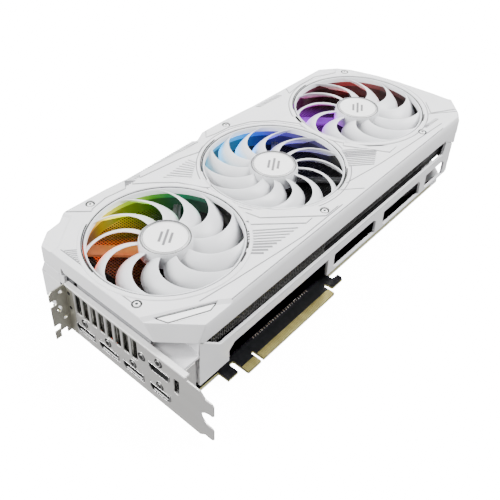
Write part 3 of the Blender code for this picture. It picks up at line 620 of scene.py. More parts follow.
def finishes():
    """Every finish of the card, by name."""
    white = (0.77, 0.77, 0.785)
    paints = {
        "cover": surface("cover_satin_white", white, 0.40, grain=0.35, bump=0.12, tint=0.02),
        # painted shade: grey for the shade in the cover's joints and over the bracket fold
        "cover_dark": surface("cover_shadow_grey", (0.20, 0.20, 0.21), 0.5, tint=0.03),
        "badge": surface("hub_satin", (0.84, 0.84, 0.84), 0.32, 0.1, bump=0.08, tint=0.02),
        "emblem": surface("hub_relief", (0.13, 0.13, 0.135), 0.35, 0.2, bump=0.1),
        "motor": surface("motor_black", (0.035, 0.035, 0.04), 0.5, grain=0.3, tint=0.15),
        "strut": surface("strut_grey", (0.10, 0.10, 0.105), 0.45, grain=0.3, tint=0.1),
        "diffuser": surface("light_diffuser", (0.70, 0.70, 0.74), 0.45, bump=0.1),
        "trim": surface("silver_trim", (0.95, 0.95, 0.955), 0.34, 0.1, grain=0.2,
                        stretch=(0.2, 1.0, 1.0), tint=0.03),
        "screw": surface("screw_steel", (0.42, 0.42, 0.42), 0.3, 1.0, grain=0.3),
        # painted shade: black for the shade in holes, joints and narrow openings
        "recess": surface("shadow_black", (0.008, 0.008, 0.008), 0.6, tint=0.2),
        "fins": surface("fin_black", (0.012, 0.012, 0.012), 0.5, 0.0, grain=0.25, bump=0.3,
                        cloud=6.0, tint=0.25),
        "fin_ends": surface("fin_end_dark", (0.05, 0.05, 0.046), 0.45, 0.4, grain=0.4, bump=0.3,
                            cloud=2.0, tint=0.45),
        "vent_fins": surface("vent_fin_grey", (0.24, 0.24, 0.22), 0.4, 0.6, grain=0.4, bump=0.3,
                             cloud=2.0, tint=0.45),
        "nickel": surface("nickel_plate", (0.62, 0.60, 0.57), 0.25, 1.0, grain=0.4, tint=0.06),
        "package": surface("chip_package", (0.05, 0.12, 0.07), 0.5, grain=0.3, tint=0.2),
        "chip": surface("chip_black", (0.02, 0.02, 0.02), 0.45, grain=0.2, tint=0.2),
        "choke": surface("choke_grey", (0.12, 0.12, 0.13), 0.65, grain=0.15, bump=0.5, tint=0.2),
        "board": surface("board_mask", (0.006, 0.006, 0.007), 0.34, grain=0.9, bump=0.3,
                         cloud=3.0, tint=0.35),
        "gold": surface("contact_gold", (0.50, 0.43, 0.15), 0.32, 0.85, grain=0.25, cloud=7.0,
                        tint=0.18, stretch=(1.0, 0.2, 1.0)),
        "pin_gold": surface("pin_gold", (0.80, 0.62, 0.25), 0.28, 1.0, grain=0.2, tint=0.1),
        "black": surface("socket_black", (0.025, 0.025, 0.026), 0.42, grain=0.25, tint=0.2),
        "header": surface("header_white", (0.75, 0.74, 0.70), 0.5, grain=0.2, tint=0.05),
        "backplate": surface("backplate_powder_coat", (0.78, 0.78, 0.79), 0.45, 0.1,
                             grain=0.3, bump=0.3, tint=0.02),
        "steel": surface("bracket_steel", (0.80, 0.79, 0.77), 0.32, 0.8, grain=0.12,
                         bump=0.03, cloud=9.0, tint=0.03, stretch=(1.0, 0.05, 1.0)),
        # painted reflection: a darker, olive copy of the bracket steel for the ear and its bend
        "steel_ear": surface("bracket_ear_steel_painted_reflection", (0.50, 0.49, 0.42), 0.36, 0.8, grain=0.12,
                             bump=0.03, cloud=9.0, tint=0.05),
        # painted highlight: a near-white, barely metallic copy of the bracket steel for the top
        # fold
        "steel_fold": surface("bracket_fold_painted_highlight", (0.95, 0.95, 0.94), 0.4, 0.1, grain=0.12),
        # painted reflection: pale strip at the mouth of the lower sockets
        "tongue": surface("socket_tongue_painted_reflection", (0.90, 0.90, 0.90), 0.4, 0.1, grain=0.3),
        "shell": surface("socket_nickel", (0.74, 0.74, 0.74), 0.22, 1.0, grain=0.3, tint=0.04),
        "solder": surface("part_ends", (0.62, 0.61, 0.58), 0.3, 0.8, grain=0.3, tint=0.1),
        "capacitor": surface("part_tan", (0.30, 0.22, 0.14), 0.5, grain=0.3, tint=0.15),
    }
    add_laminate_edge(paints["board"], (0.40, 0.38, 0.15))
    mask = paints["board"].node_tree.nodes["Principled BSDF"]
    mask.inputs["Specular IOR Level"].default_value = 0.2
    add_fan_glow(paints["fins"], 1.6)
    for number, colour in enumerate(BAR_COLOURS, 1):
        paints["bar_" + str(number)] = lit_bar("lit_bar_" + str(number), colour, 0.8)
    for number, stops in enumerate(FAN_LIGHT, 1):
        lens, collar = "fan_light_" + str(number), "collar_painted_ring_light_" + str(number)
        paints["light_" + str(number)] = lit_by_direction(lens, stops, 3.5)
        # painted light: the ring's light painted as emission on the collar below it
        paints["collar_" + str(number)] = lit_by_direction(collar, stops, 0.85)
        paints["fan_" + str(number)] = blade_paint(number, stops)
    return paints


# ----------------------------------------------------------------- cover

def cover_shell(paints):
    """White face with fan openings, chamfers, lowered corners and grooves."""
    rings = [
        [(x, y, COVER_BOTTOM) for x, y in WALL_OUTLINE],
        [(x, y, FACET_BOTTOM) for x, y in WALL_OUTLINE],
        [(x, y, SHOULDER) for x, y in SHOULDER_CORNER + WALL_OUTLINE[2:]],
        [(x, y, FACE) for x, y in FACE_OUTLINE],
    ]
    cover = shape("front_cover_shell", loft(rings))
    round_off(cover, 0.7)
    cavity = ((1.2, -66.5), (25.4, SIDE_Y)) + WALL_OUTLINE[2:]
    carve(cover, prism(inset_outline(cavity, WALL), COVER_BOTTOM - 5, FACE - 3.4))
    collars = [rod(50.3, 43.5, FACE - 1.0, (x, FAN_Y), OPENING_SIDES) for x in FAN_X]
    carve(cover, merged(*collars), "UNION")
    skirt = ((282.0, 45.0), (282.6, 42.6), (295.6, 35.6), (297.6, 35.6), (297.6, 45.0))
    carve(cover, prism(skirt, SIDE_Y, SIDE_Y + WALL, "y"), "UNION")
    openings = [rod(OPENING_RADIUS, 30.0, 70.0, (x, FAN_Y), OPENING_SIDES) for x in FAN_X]
    carve(cover, merged(*openings))
    lowered = (
        ramp_block(((-6.0, -100.0), (50.0, -100.0), (38.4, -90.0), (1.0, -68.2), (-6.0, -64.2)),
                   LOWERED, LOWERED + 5.0, 7.5),
        ramp_block(((-6.0, 11.0), (6.5, 11.0), (27.5, 27.0), (22.0, 40.0), (-6.0, 40.0)),
                   56.3, 60.3, 7.5),
        ramp_block(((304.5, -74.0), (330.0, -74.0), (330.0, 16.0), (308.0, 10.0), (306.5, -2.0),
                    (309.5, -28.0)), 56.2, 60.2, 12.0),
    )
    for block in lowered:
        carve(cover, block)
    corner = ((-5.0, FACET_BOTTOM), (16.5, FACET_BOTTOM), (21.0, 42.0), (-5.0, 42.0))
    carve(cover, prism(corner, -100.0, -74.2, "y"))
    notch = ((2.4, 48.6), (0.8, 48.6), (-0.6, 46.4), (-6.6, 46.4), (-6.6, 42.0), (2.4, 42.0))
    carve(cover, prism(notch, 0.0, 5.0, "x"))
    carve(cover, box((-1.0, 3.3), (-76.0, 0.0), (COVER_BOTTOM - 1.0, FACET_BOTTOM)))
    for line, width in GROOVES:
        carve(cover, strip(line, width, FACE - 0.6, 60.0))
    heads = [rod(3.0, FACE - 1.6, 70.0, spot) for spot in SCREWS]
    carve(cover, merged(*heads))
    pocket = prism(inset_outline(INSERT_OUTLINE, -0.75), LOWERED - 1.0, 60.0)
    carve(cover, pocket)
    return finish(cover, paints["cover"], ("front_cover",), sharp=24)


def ribs(start, start_end, end, end_end, count, width=0.9):
    """Thin bars as outlines; their ends run along two lines."""
    bars = []
    for i in range(count):
        share = i / (count - 1)
        a = [p + (q - p) * share for p, q in zip(start, start_end)]
        b = [p + (q - p) * share for p, q in zip(end, end_end)]
        bars.append((a, b))
    return bars, width


def rib_groups():
    """Every set of ribs on the face, with the slanted hatch along the power side."""
    hatch = [((x, 29.6), (x + (5.0 if x < 76 else 3.4), 24.6 if x < 76 else 26.2))
             for x in (47.5 + 2.0 * i for i in range(46))]
    return (
        ribs((77.5, -75.5), (92.0, -62.0), (83.5, -82.0), (115.0, -82.6), 9),
        ribs((6.9, 4.5), (6.9, -10.0), (13.6, -1.2), (8.6, -12.0), 8, 0.7),
        ribs((95.5, 14.0), (121.0, 16.0), (106.5, -1.0), (122.0, 10.0), 9),
        ribs((187.5, -67.0), (201.5, -54.5), (203.0, -80.0), (221.0, -71.0), 10),
        ribs((206.0, 28.0), (229.0, 26.8), (209.0, 24.8), (232.0, 23.6), 9, 0.7),
        ribs((266.5, -80.5), (283.0, -81.5), (269.0, -83.4), (284.0, -84.0), 8, 0.7),
        (hatch, 0.8),
    )


def cover_panels(paints):
    """Raised panels, bands and ribs of the face, with the rims round the fans."""
    raised = shape("front_cover_panels", prism(PANELS[0], FACE - 0.6, RAISED))
    for outline in PANELS[1:]:
        add(raised, prism(outline, FACE - 0.6, RAISED))
    for bars, width in rib_groups():
        add(raised, merged(*[strip(bar, width, FACE - 0.4, RAISED + 0.1) for bar in bars]))
    for x, outer in zip(FAN_X, RIM_RADII):
        profile = (
            (OPENING_RADIUS, FACE - 1.5), (OPENING_RADIUS, RAISED - 0.35),
            (OPENING_RADIUS + 0.35, RAISED), (outer - 0.5, RAISED), (outer, FACE),
            (outer, FACE - 1.5),
        )
        add(raised, shifted(turned(profile, RIM_SIDES, True), x, FAN_Y))
    carve(raised, merged(*[rod(3.15, FACE - 1.6, 70.0, spot) for spot in SCREWS]))
    return finish(raised, paints["cover"], rounding=0.2)


def arc(inner, outer, angles, low, high, centre):
    """Part of a flat ring between two angles in degrees."""
    first, last = angles
    turns = [math.radians(first + (last - first) * i / 40) for i in range(41)]
    rows = [(outer, turns), (inner, turns[::-1])]
    outline = [(centre[0] + radius * math.cos(a), centre[1] + radius * math.sin(a))
               for radius, row in rows for a in row]
    return prism(outline, low, high)


def cover_lines(paints):
    """Painted shade: grey strips in the panel feet, groove floors, rib beds and round the rims,
    black arcs at the openings' edges and black rings in the screw wells.
    """
    solids = [strip(line, width - 0.1, FACE - 0.7, FACE - 0.1) for line, width in GROOVES]
    solids += [strip(outline + outline[:1], 1.0, FACE - 0.5, LINE_TOP) for outline in PANELS]
    for bars, width in rib_groups():
        solids += [strip(bar, width + 0.8, FACE - 0.4, FACE + 0.05) for bar in bars]
    for x, outer in zip(FAN_X, RIM_LINE_RADII):
        ring = (
            (outer - 0.2, FACE - 0.5), (outer - 0.2, LINE_TOP), (outer + 0.55, LINE_TOP),
            (outer + 0.55, FACE - 0.5),
        )
        solids.append(shifted(turned(ring, RIM_SIDES, True), x, FAN_Y))
    finish(shape("cover_lines", merged(*solids)), paints["cover_dark"], sharp=30)
    # painted shade: black arcs at the opening edges and black rings round the screw heads
    gaps = [arc(49.1, 49.9, angles, FACE - 1.0, RAISED + 0.04, (x, FAN_Y))
            for x, row in zip(FAN_X, RIM_SHADE_ARCS) for angles in row]
    well = (
        (2.05, FACE - 1.4), (2.05, FACE - 0.3), (2.4, LINE_TOP), (3.05, LINE_TOP),
        (3.05, FACE - 1.4),
    )
    wells = [shifted(turned(well, 32, True), *spot) for spot in SCREWS]
    return finish(shape("cover_painted_shade", merged(*gaps, *wells)), paints["recess"],
                  sharp=30)


def opening_liners(paints):
    """Painted shade: black rings inside the openings behind the rims."""
    top = RAISED - 0.9
    ring = turned(((48.85, 54.2), (48.85, top), (49.4, top), (49.4, 54.2)), RIM_SIDES, True)
    rim_shade = shape("opening_liners", merged(*[shifted(ring, x, FAN_Y) for x in FAN_X]))
    return finish(rim_shade, paints["motor"], sharp=40)


def corner_insert(paints):
    """Plain silver plate let into the lowered corner."""
    insert = shape("silver_insert", prism(INSERT_OUTLINE, LOWERED - 0.9, LOWERED + 0.15))
    line = strip(((12.0, -80.2), (28.6, -89.0)), 0.35, LOWERED - 0.5, LOWERED + 0.22)
    add(insert, line)
    # painted shade: a black sheet at the floor of the gap round the insert
    joint = shape("silver_insert_joint", prism(inset_outline(INSERT_OUTLINE, -0.7),
                                               LOWERED - 1.0, LOWERED - 0.25))
    finish(joint, paints["recess"], sharp=30)
    return finish(insert, paints["trim"], ("corner_insert",), rounding=0.15)


def cover_screw(number, spot, paints):
    """Button-head screw with a six-sided recess."""
    top = FACE + 0.35
    profile = (
        (0.0, top), (1.4, top), (1.85, top - 0.25), (2.05, top - 0.7), (2.1, top - 1.5),
        (1.25, top - 1.5), (1.25, 51.0), (0.0, 51.0),
    )
    head = shape("face_screw_" + str(number), turned(profile, 40), (*spot, 0.0))
    carve(head, prism(circle(1.05, 6), top - 0.9, top + 2))
    node = "cover_screw_" + str(number)
    finish(head, paints["trim"], (node,), sharp=35)
    # painted shade: black floor in the six-sided recess
    floor = shape("face_screw_recess_" + str(number),
                  rod(1.08, top - 1.1, top - 0.35, count=6), (*spot, 0.0))
    return finish(floor, paints["recess"], sharp=35)


# ------------------------------------------------------------------ fans

def blend(start, end, share):
    return start + (end - start) * share


def blade_point(share, chord, spacing, turn):
    """Middle surface of a blade: share runs from hub to ring, chord from front to rear."""
    radius = blend(HUB_RADIUS - 0.9, RING_RADII[0] + 0.6, share)
    sweep = math.radians(blend(-7.0, 31.0, share ** 1.7) + 7.0 * (1 - share) ** 3)
    flare = 0.10 * max(0.0, (share - 0.86) / 0.14) ** 2
    width = spacing * (blend(0.85, 0.56, share) + flare)
    angle = turn * (sweep + spacing * flare * 0.6 - width * chord)
    front = blend(55.4, 56.4, share)
    rear = blend(50.4, 47.4, math.sqrt(share))
    level = blend(front, rear, chord) + 0.8 * math.sin(math.pi * chord)
    return radius * math.cos(angle), radius * math.sin(angle), level


def fan_blade(spacing, turn):
    """One swept blade, thick in the middle of its chord and thin at both edges."""
    rows, columns = 20, 12
    rings = []
    for i in range(rows):
        share = i / (rows - 1)
        upper, lower = [], []
        for j in range(columns):
            chord = (1 - math.cos(math.pi * j / (columns - 1))) / 2
            x, y, z = blade_point(share, chord, spacing, turn)
            half = 0.22 + 0.5 * math.sqrt(max(0.0, chord * (1 - chord)) * 4)
            upper.append((x, y, z + half))
            lower.append((x, y, z - half))
        rings.append(upper + lower[::-1])
    return loft(rings)


def fan_rotor(number, paints):
    """Ring, blades and hub of one fan."""
    spacing = 2 * math.pi / BLADE_COUNTS[number - 1]
    centre = (FAN_X[number - 1], FAN_Y, 0.0)
    hub = (
        (13.2, 56.3), (14.9, 56.3), (15.1, 56.7), (15.35, 57.2), (15.75, 57.3), (16.1, 56.9),
        (16.5, 55.6), (16.9, 53.0), (16.9, 47.0), (14.4, 47.0), (14.4, 54.6), (13.2, 54.6),
    )
    inner, outer = RING_RADII
    low, high = RING_Z
    ring = (
        (inner, low), (inner, high - 1.2), (inner + 0.25, high - 0.3), (inner + 0.55, high),
        (outer - 0.25, high), (outer, high - 0.3), (outer, low),
    )
    blades = [
        turned_about(fan_blade(spacing, FAN_TURN[number - 1]),
                     FAN_REST[number - 1] + math.degrees(spacing) * i)
        for i in range(BLADE_COUNTS[number - 1])
    ]
    solid = merged(turned(hub, 96, True), turned(ring, 128, True), *blades)
    rotor = shape("rotor_" + str(number), solid, centre)
    finish(rotor, paints["fan_" + str(number)], ("fan_rotor_" + str(number),),
           "fan_" + str(number), sharp=40)
    lines = merged(
        turned(((13.6, 57.3), (13.65, 57.58), (14.05, 57.58), (14.15, 57.3)), 96, True),
        turned(((14.95, 56.9), (15.15, 57.3), (15.6, 57.36), (15.75, 57.0)), 96, True),
    )
    rings = shape("hub_lines_" + str(number), lines, centre)
    finish(rings, paints["emblem"], (), "fan_" + str(number), sharp=60)


def fan_badge(number, paints):
    """Plain satin badge with a rim, a groove and three short raised bars."""
    centre = (FAN_X[number - 1], FAN_Y, 0.0)
    profile = (
        (0.0, 57.0), (12.9, 57.0), (13.15, 57.25), (13.5, 57.5), (14.1, 57.5), (14.4, 57.2),
        (14.6, 56.5), (0.0, 56.5),
    )
    name = "fan_cap_" + str(number)
    badge = shape("badge_" + str(number), turned(profile, 96), centre)
    finish(badge, paints["badge"], (name,), "fan_" + str(number), sharp=50)
    bars = [
        turned_about(box((-half, half), (y - 0.8, y + 0.8), (56.9, 57.2)), 33.0)
        for y, half in ((-3.2, 4.6), (0.0, 7.2), (3.2, 4.6))
    ]
    emblem = shape("badge_bars_" + str(number), merged(*bars), centre)
    finish(emblem, paints["emblem"], (), "fan_" + str(number), rounding=0.1)


def fan_frame(number, paints):
    """Motor base and three struts behind the blades."""
    centre = (FAN_X[number - 1], FAN_Y, 0.0)
    motor = (
        (1.7, 43.6), (1.7, 53.6), (2.6, 54.0), (12.6, 54.0), (13.4, 53.4), (13.4, 43.4),
        (15.2, 43.2), (15.5, 42.8), (15.5, 41.2), (1.7, 41.2),
    )
    coils = [
        turned_about(box((7.0, 13.6), (-2.4, 2.4), (45.0, 52.0)), 60.0 * i) for i in range(6)
    ]
    base = shape("motor_" + str(number), merged(turned(motor, 64, True), *coils), centre)
    finish(base, paints["motor"], ("fan_frame_" + str(number),), sharp=40)
    struts = []
    for angle, offset in ((-49.0, 1.0), (41.0, -1.0), (221.0, 1.0)):
        middle = offset * STRUT_OFFSET
        bar = box((10.0, 49.6), (middle - 2.6, middle + 2.6), (41.3, 43.1))
        lip = box((12.0, 49.0), (middle - 0.5, middle + 0.5), (42.9, 43.7))
        struts.append(turned_about(merged(bar, lip), angle))
    arms = shape("struts_" + str(number), merged(*struts), centre)
    finish(arms, paints["strut"], rounding=0.3)


def fan_lights(number, paints):
    """Lit diffuser bar behind the blades, lit lens ring and the collar below it, with the ring's
    light painted on the collar.
    """
    centre = (FAN_X[number - 1], FAN_Y, 0.0)
    across = (-STRUT_OFFSET - 4.5, -STRUT_OFFSET + 4.5)
    bar = turned_about(box((16.0, 49.4), across, (41.2, 43.2)), 131.0)
    diffuser = shape("lit_bar_" + str(number), bar, centre)
    finish(diffuser, paints["bar_" + str(number)],
           ("light_bar_" + str(number),), rounding=0.4)
    below = ((48.4, 40.5), (48.4, 48.7), (49.03, 48.7), (49.03, 40.5))
    # painted light: the collar glows as if lit by the ring above
    collar = shape("collar_" + str(number), turned(below, OPENING_SIDES, True), centre)
    finish(collar, paints["collar_" + str(number)], sharp=30)
    ring = ((48.5, 48.8), (48.5, 52.6), (49.03, 52.9), (49.03, 48.8))
    lens = shape("lit_ring_" + str(number), turned(ring, OPENING_SIDES, True), centre)
    finish(lens, paints["light_" + str(number)], sharp=30)


# ---------------------------------------------------------------- cooler

def fin_ends(paints):
    """Folded fin edges that show in the slot above the side wall."""
    ends = []
    for i in range(61):
        x = 28.0 + FIN_PITCH * i
        ends.append(box((x, x + 0.5), (-92.2, -88.0), (30.0, 43.6)))
        for level in (32.6, 35.4, 38.2, 41.0):
            low = level + i % 2 * 0.7
            ends.append(box((x + 0.4, x + 1.3), (-92.1, -91.6), (low, low + 0.6)))
    finish(shape("fin_ends", merged(*ends)), paints["fin_ends"], sharp=30)


def fin_stack(paints):
    """Thin fins with spacer tabs and cross ties, and a black strip behind the tail wall as
    painted shade.
    """
    fins = []
    x = 22.0
    while x < 303.0:
        start = -91.0 if x < 256.0 else -79.0
        end = 26.0 if x < 289.6 else 10.0 - 0.9 * (x - 290.0)
        fins.append(box((x, x + 0.42), (start, end), (18.6, 40.4)))
        x += FIN_PITCH
    ties = [
        box((256.0, 297.0), (-90.5, -79.5), (29.5, 43.4)),
        box((289.6, 303.0), (-79.0, -2.0), (18.0, 18.6)),
    ]
    y = -90.4
    while y < 26.0:
        ties.append(box((22.0, 289.8 if y > -79.0 else 256.0), (y, y + 0.4), (39.7, 40.3)))
        y += 1.9
    tabs = [
        box((22.0, 256.0), (edge, edge + 0.35), (z, z + 0.5))
        for edge in (-91.15, 25.8) for z in (20.6, 25.6, 30.6, 34.4, 36.4, 38.4)
    ]
    fin_ends(paints)
    # painted shade: a black strip just inside the tail wall
    route = ((294.0, 17.4), (301.4, 3.0), (309.2, -31.2), (311.3, -75.0), (301.6, -86.0))
    tail_shade = shape("tail_painted_shade", strip(route, 1.0, 12.0, 44.0))
    finish(tail_shade, paints["recess"], sharp=30)
    stack = shape("fins", merged(*fins, *ties, *tabs))
    return finish(stack, paints["fins"], ("fin_stack",), sharp=30)


# ----------------------------------------------------------- side frames

def slot_side_frame(paints):
    """White wall on the connector side with its windows, shelf and tail wall."""
    outline = (
        (16.5, 11.3), (40.5, 11.3), (40.5, 19.5), (45.0, 23.6), (135.5, 24.0), (135.5, 9.8),
        (292.4, 9.8), (294.4, 20.0), (295.2, 35.2), (283.4, 41.8), (281.4, 31.5),
        (33.4, 31.5), (22.0, 42.2), (17.9, 46.1), (16.5, 46.1),
    )
    back = SIDE_Y + 1.9
    frame = shape("side_wall", prism(outline, SIDE_Y, back, "y"))
    carve(frame, box((1.6, 18.3), (SIDE_Y + 0.2, -64.0), (34.6, 36.4)), "UNION")
    carve(frame, box((16.7, 18.4), (SIDE_Y + 0.4, -64.0), (11.5, 36.0)), "UNION")
    wall = (
        (291.0, SIDE_Y + 0.3), (294.6, SIDE_Y + 0.3), (303.6, -89.4), (315.6, -76.6),
        (313.4, -31.0), (305.6, 4.0), (297.8, 16.6), (296.0, 15.4), (303.6, 3.2),
        (311.4, -31.2), (313.6, -75.8), (302.4, -87.8), (293.8, SIDE_Y + 2.2),
        (291.0, SIDE_Y + 2.2),
    )
    carve(frame, prism(wall, 9.9, 35.0), "UNION")
    windows = []
    for low, high in ((142.5, 191.5), (201.5, 251.5), (259.5, 287.0)):
        cut = ((low + 2.5, 11.6), (high, 11.6), (high, 21.5), (high - 3.0, 24.0), (low, 24.0),
               (low, 14.0))
        windows.append(prism(cut, SIDE_Y - 3, back + 2, "y"))
    for step in range(3):
        windows.append(box((308.0, 320.0), (-70.0 + 16.0 * step, -58.0 + 16.0 * step),
                           (16.0, 30.0)))
    carve(frame, merged(*windows))
    carve(frame, box((257.0, 291.0), (-81.5, -80.5), (9.9, 27.0)), "UNION")
    carve(frame, box((18.0, 20.5), (SIDE_Y + 1.0, -64.0), (34.6, 46.0)), "UNION")
    seam = box((44.0, 281.0), (SIDE_Y - 1, SIDE_Y + 0.4), (29.3, 29.7))
    carve(frame, seam)
    return finish(frame, paints["cover"], ("slot_side_frame",), rounding=0.25)


def corner_skin(paints):
    """Flared outer skin of the power-side frame where it meets the bracket."""
    low = ((1.3, 5.0), (3.0, 5.0), (3.0, 23.0), (10.0, 28.6), (24.0, 28.6), (24.0, 30.4),
           (8.6, 30.4), (1.3, 24.0))
    high = ((1.3, 5.0), (3.0, 5.0), (3.0, 18.4), (11.0, 25.6), (24.0, 25.6), (24.0, 28.0),
            (10.4, 27.2), (1.3, 19.4))
    rings = [[(x, y, 12.0) for x, y in low], [(x, y, 33.6) for x, y in low],
             [(x, y, 42.8) for x, y in high]]
    skin = shape("power_side_corner", loft(rings))
    carve(skin, box((0.0, 1.75), (5.0, 40.0), (33.9, 34.4)))
    finish(skin, paints["cover"], rounding=0.2)
    # painted shade: black boxes in the gaps at the corner and behind the top of the bracket
    dark = merged(
        box((1.5, 2.2), (3.8, 23.4), (33.8, 34.5)), box((1.1, 2.6), (3.4, 5.2), (33.2, 35.6)),
        box((3.4, 4.0), (-9.0, 5.0), (38.0, 50.0)),
    )
    return finish(shape("corner_shadow_gaps", dark), paints["motor"], sharp=30)


# --------------------------------------------------------------- bracket

def plate_outline():
    """Outline of the bracket plate as (y, z), with its two tongues."""
    return (
        (0.0, 0.3), (-110.0, 0.3), (-113.6, 3.29), (-118.6, 3.29), (-120.02, 4.6),
        (-120.02, 12.2), (-118.8, 13.48), (-116.6, 13.48), (-113.8, 14.6), (-111.8, 16.6),
        (-111.0, 18.9), (-111.8, 20.6), (-113.8, 22.4), (-116.6, 23.61), (-118.8, 23.61),
        (-120.02, 24.8), (-120.02, 32.4), (-118.6, 33.8), (-114.2, 33.8), (-110.6, 37.4),
        (-101.4, 37.4), (-100.2, PLATE_TOP_Z), (0.0, PLATE_TOP_Z),
    )


def ear_outline():
    """Outline of the bent ear as (x, z), with its two rounded screw notches."""
    edge = -EAR_DEPTH
    outline = [(PLATE_THICKNESS, 0.3), (PLATE_THICKNESS, PLATE_TOP_Z),
               (edge + 2.0, PLATE_TOP_Z), (edge, PLATE_TOP_Z - 2.0)]
    for middle in (29.4, 9.08):
        for step in range(9):
            angle = math.radians(90 - 22.5 * step)
            outline.append((edge + 2.4 + 2.1 * math.cos(angle), middle + 2.35 * math.sin(angle)))
        outline.insert(-9, (edge, middle + 2.35))
        outline.append((edge, middle - 2.35))
    outline += [(edge, 0.3), (-7.4, 0.3), (-7.4, 5.0), (-2.8, 5.0), (-2.8, 0.3)]
    return outline[::-1]


def mouth(kind, middle, low, inset=0.0):
    """Outline of a socket's mouth as (y, z)."""
    half = (8.5 if kind == "display" else 8.0) - inset
    bottom, top = low + inset, low + 6.0 - inset
    if kind == "display":
        return (
            (middle - half, bottom), (middle + half - 2.2, bottom), (middle + half, bottom + 2.2),
            (middle + half, top), (middle - half, top),
        )
    return (
        (middle - half + 2.0, bottom), (middle + half - 2.0, bottom),
        (middle + half - 0.6, bottom + 1.7), (middle + half, bottom + 2.2), (middle + half, top),
        (middle - half, top), (middle - half, bottom + 2.2), (middle - half + 0.6, bottom + 1.7),
    )


def socket_list():
    """Every socket as (node, kind, y, z)."""
    rows = [
        ("display_socket_" + str(i), "display", y, SOCKET_Z)
        for i, y in enumerate(DISPLAY_SOCKETS_Y, 1)
    ]
    rows.append(("screen_socket_lower", "screen", SCREEN_SOCKET_Y, SOCKET_Z))
    rows.append(("screen_socket_upper", "screen", SCREEN_SOCKET_Y, UPPER_SOCKET_Z))
    return rows


def bracket(paints):
    """Bent steel bracket with vents, socket cut-outs and the case notches."""
    sheet = shape("bracket_sheet", prism(plate_outline(), 0.0, PLATE_THICKNESS, "x"))
    carve(sheet, box((0.3, 13.6), (-94.2, -93.3), (13.0, 34.1)), "UNION")
    vents = []
    for step in range(8):
        y = -11.9 - 6.92 * step
        vents.append(prism(((y - 2.5, 21.6), (y - 1.9, 21.0), (y + 1.9, 21.0), (y + 2.5, 21.6),
                            (y + 2.5, 36.2), (y + 1.9, 36.8), (y - 1.9, 36.8), (y - 2.5, 36.2)),
                           -1, 2, "x"))
    holes = [prism(mouth(kind, y, z, -0.35), -1, 2, "x") for _, kind, y, z in socket_list()]
    slot = prism(((-95.2, 20.5), (-94.0, 19.5), (-91.0, 19.5), (-91.0, 30.0), (-92.2, 31.0),
                  (-95.2, 31.0)), -1, 2, "x")
    carve(sheet, merged(*vents, *holes, slot))
    for y, z in BRACKET_SCREWS:
        add(sheet, screw_boss(y, z))
    return finish(sheet, paints["steel"], ("io_bracket",), rounding=0.16)


def bracket_ear(paints):
    """Bent ear with its notches and holes, its bend, the fold along the top and the grey painted
    shade above it; the ear and bend carry a painted olive reflection, the fold a painted
    highlight.
    """
    ear = shape("bracket_ear", prism(ear_outline(), -PLATE_THICKNESS, 0.02, "y"))
    holes = [rod(1.25, -3, 2, spot, 20, "y") for spot in ((-3.6, 35.2), (-2.9, 13.5))]
    diamond = prism(((-7.6, 22.4), (-5.2, 19.6), (-3.8, 22.8), (-6.0, 25.6)), -3, 2, "y")
    carve(ear, merged(*holes, diamond))
    # painted reflection: olive steel on the ear and its bend
    finish(ear, paints["steel_ear"], rounding=0.16)
    bend = ((-0.05, -7.6), (0.02, -7.6), (0.02, 0.0), (-0.05, 0.0))
    band = shape("bracket_bend", prism(bend, 0.4, PLATE_TOP_Z - 0.2))
    finish(band, paints["steel_ear"], sharp=30)
    # two flat black ovals on the plate's outer face near the ear; no hole or dimple is cut
    ovals = [rod(1.25, -0.12, -0.04, (-3.9, z), 20, "x") for z in (33.4, 21.5)]
    finish(shape("bracket_dark_ovals", merged(*ovals)), paints["recess"], sharp=30)
    shade = shape("bracket_gap_shade", box((3.4, 4.0), (-71.0, -6.0), (37.8, 52.0)))
    finish(shade, paints["cover_dark"], sharp=30)
    # painted highlight: near-white fold along the top
    fold = shape("bracket_fold", box((-0.2, 3.2), (-100.0, -0.6), (38.0, 39.3)))
    finish(fold, paints["steel_fold"], rounding=0.2)
    vent_fins(paints)


def vent_fins(paints):
    """Slats and backing that show through the bracket's vents."""
    slats = [box((2.4, 4.8), (-4.6 - 4.35 * i, -3.5 - 4.35 * i), (15.4, 37.4))
             for i in range(14)]
    backing = box((4.8, 5.2), (-68.0, -2.0), (13.6, 37.6))
    behind = shape("vent_fins", merged(*slats, backing))
    finish(behind, paints["vent_fins"], sharp=30)


def facing_out(solid, y, z):
    """A solid turned about Z, laid on the bracket's outer face at (y, z)."""
    points = [(-level, y + a, z + b) for a, b, level in solid[0]]
    return points, [face[::-1] for face in solid[1]]


def screw_boss(y, z):
    """Low ring pressed into the plate round a screw."""
    profile = ((2.75, -0.4), (2.75, 0.12), (3.05, 0.18), (3.35, 0.1), (3.35, -0.4))
    return facing_out(turned(profile, 40, True), y, z)


def bracket_screw(number, y, z, paints):
    """Low round screw with a cross recess."""
    profile = (
        (0.0, 0.62), (1.2, 0.58), (1.8, 0.4), (2.1, 0.1), (2.2, -0.1), (2.2, -0.6), (0.0, -0.6),
    )
    head = shape("bracket_screw_" + str(number), facing_out(turned(profile, 40), y, z))
    for degrees in (20.0, 110.0):
        c, s = math.cos(math.radians(degrees)), math.sin(math.radians(degrees))
        corners = [(a * c - b * s, a * s + b * c)
                   for a, b in ((-1.5, -0.42), (1.5, -0.42), (1.5, 0.42), (-1.5, 0.42))]
        carve(head, prism([(y + a, z + b) for a, b in corners], -2.0, -0.1, "x"))
    finish(head, paints["screw"], sharp=30)
    # painted shade: a dark disc in the cross recess and a dark ring round the head
    dark = merged(rod(1.2, -0.7, -0.5, (y, z), 24, "x"), rod(3.0, -0.2, -0.02, (y, z), 40, "x"))
    well = shape("bracket_screw_shade_" + str(number), dark)
    return finish(well, paints["recess"], sharp=30)


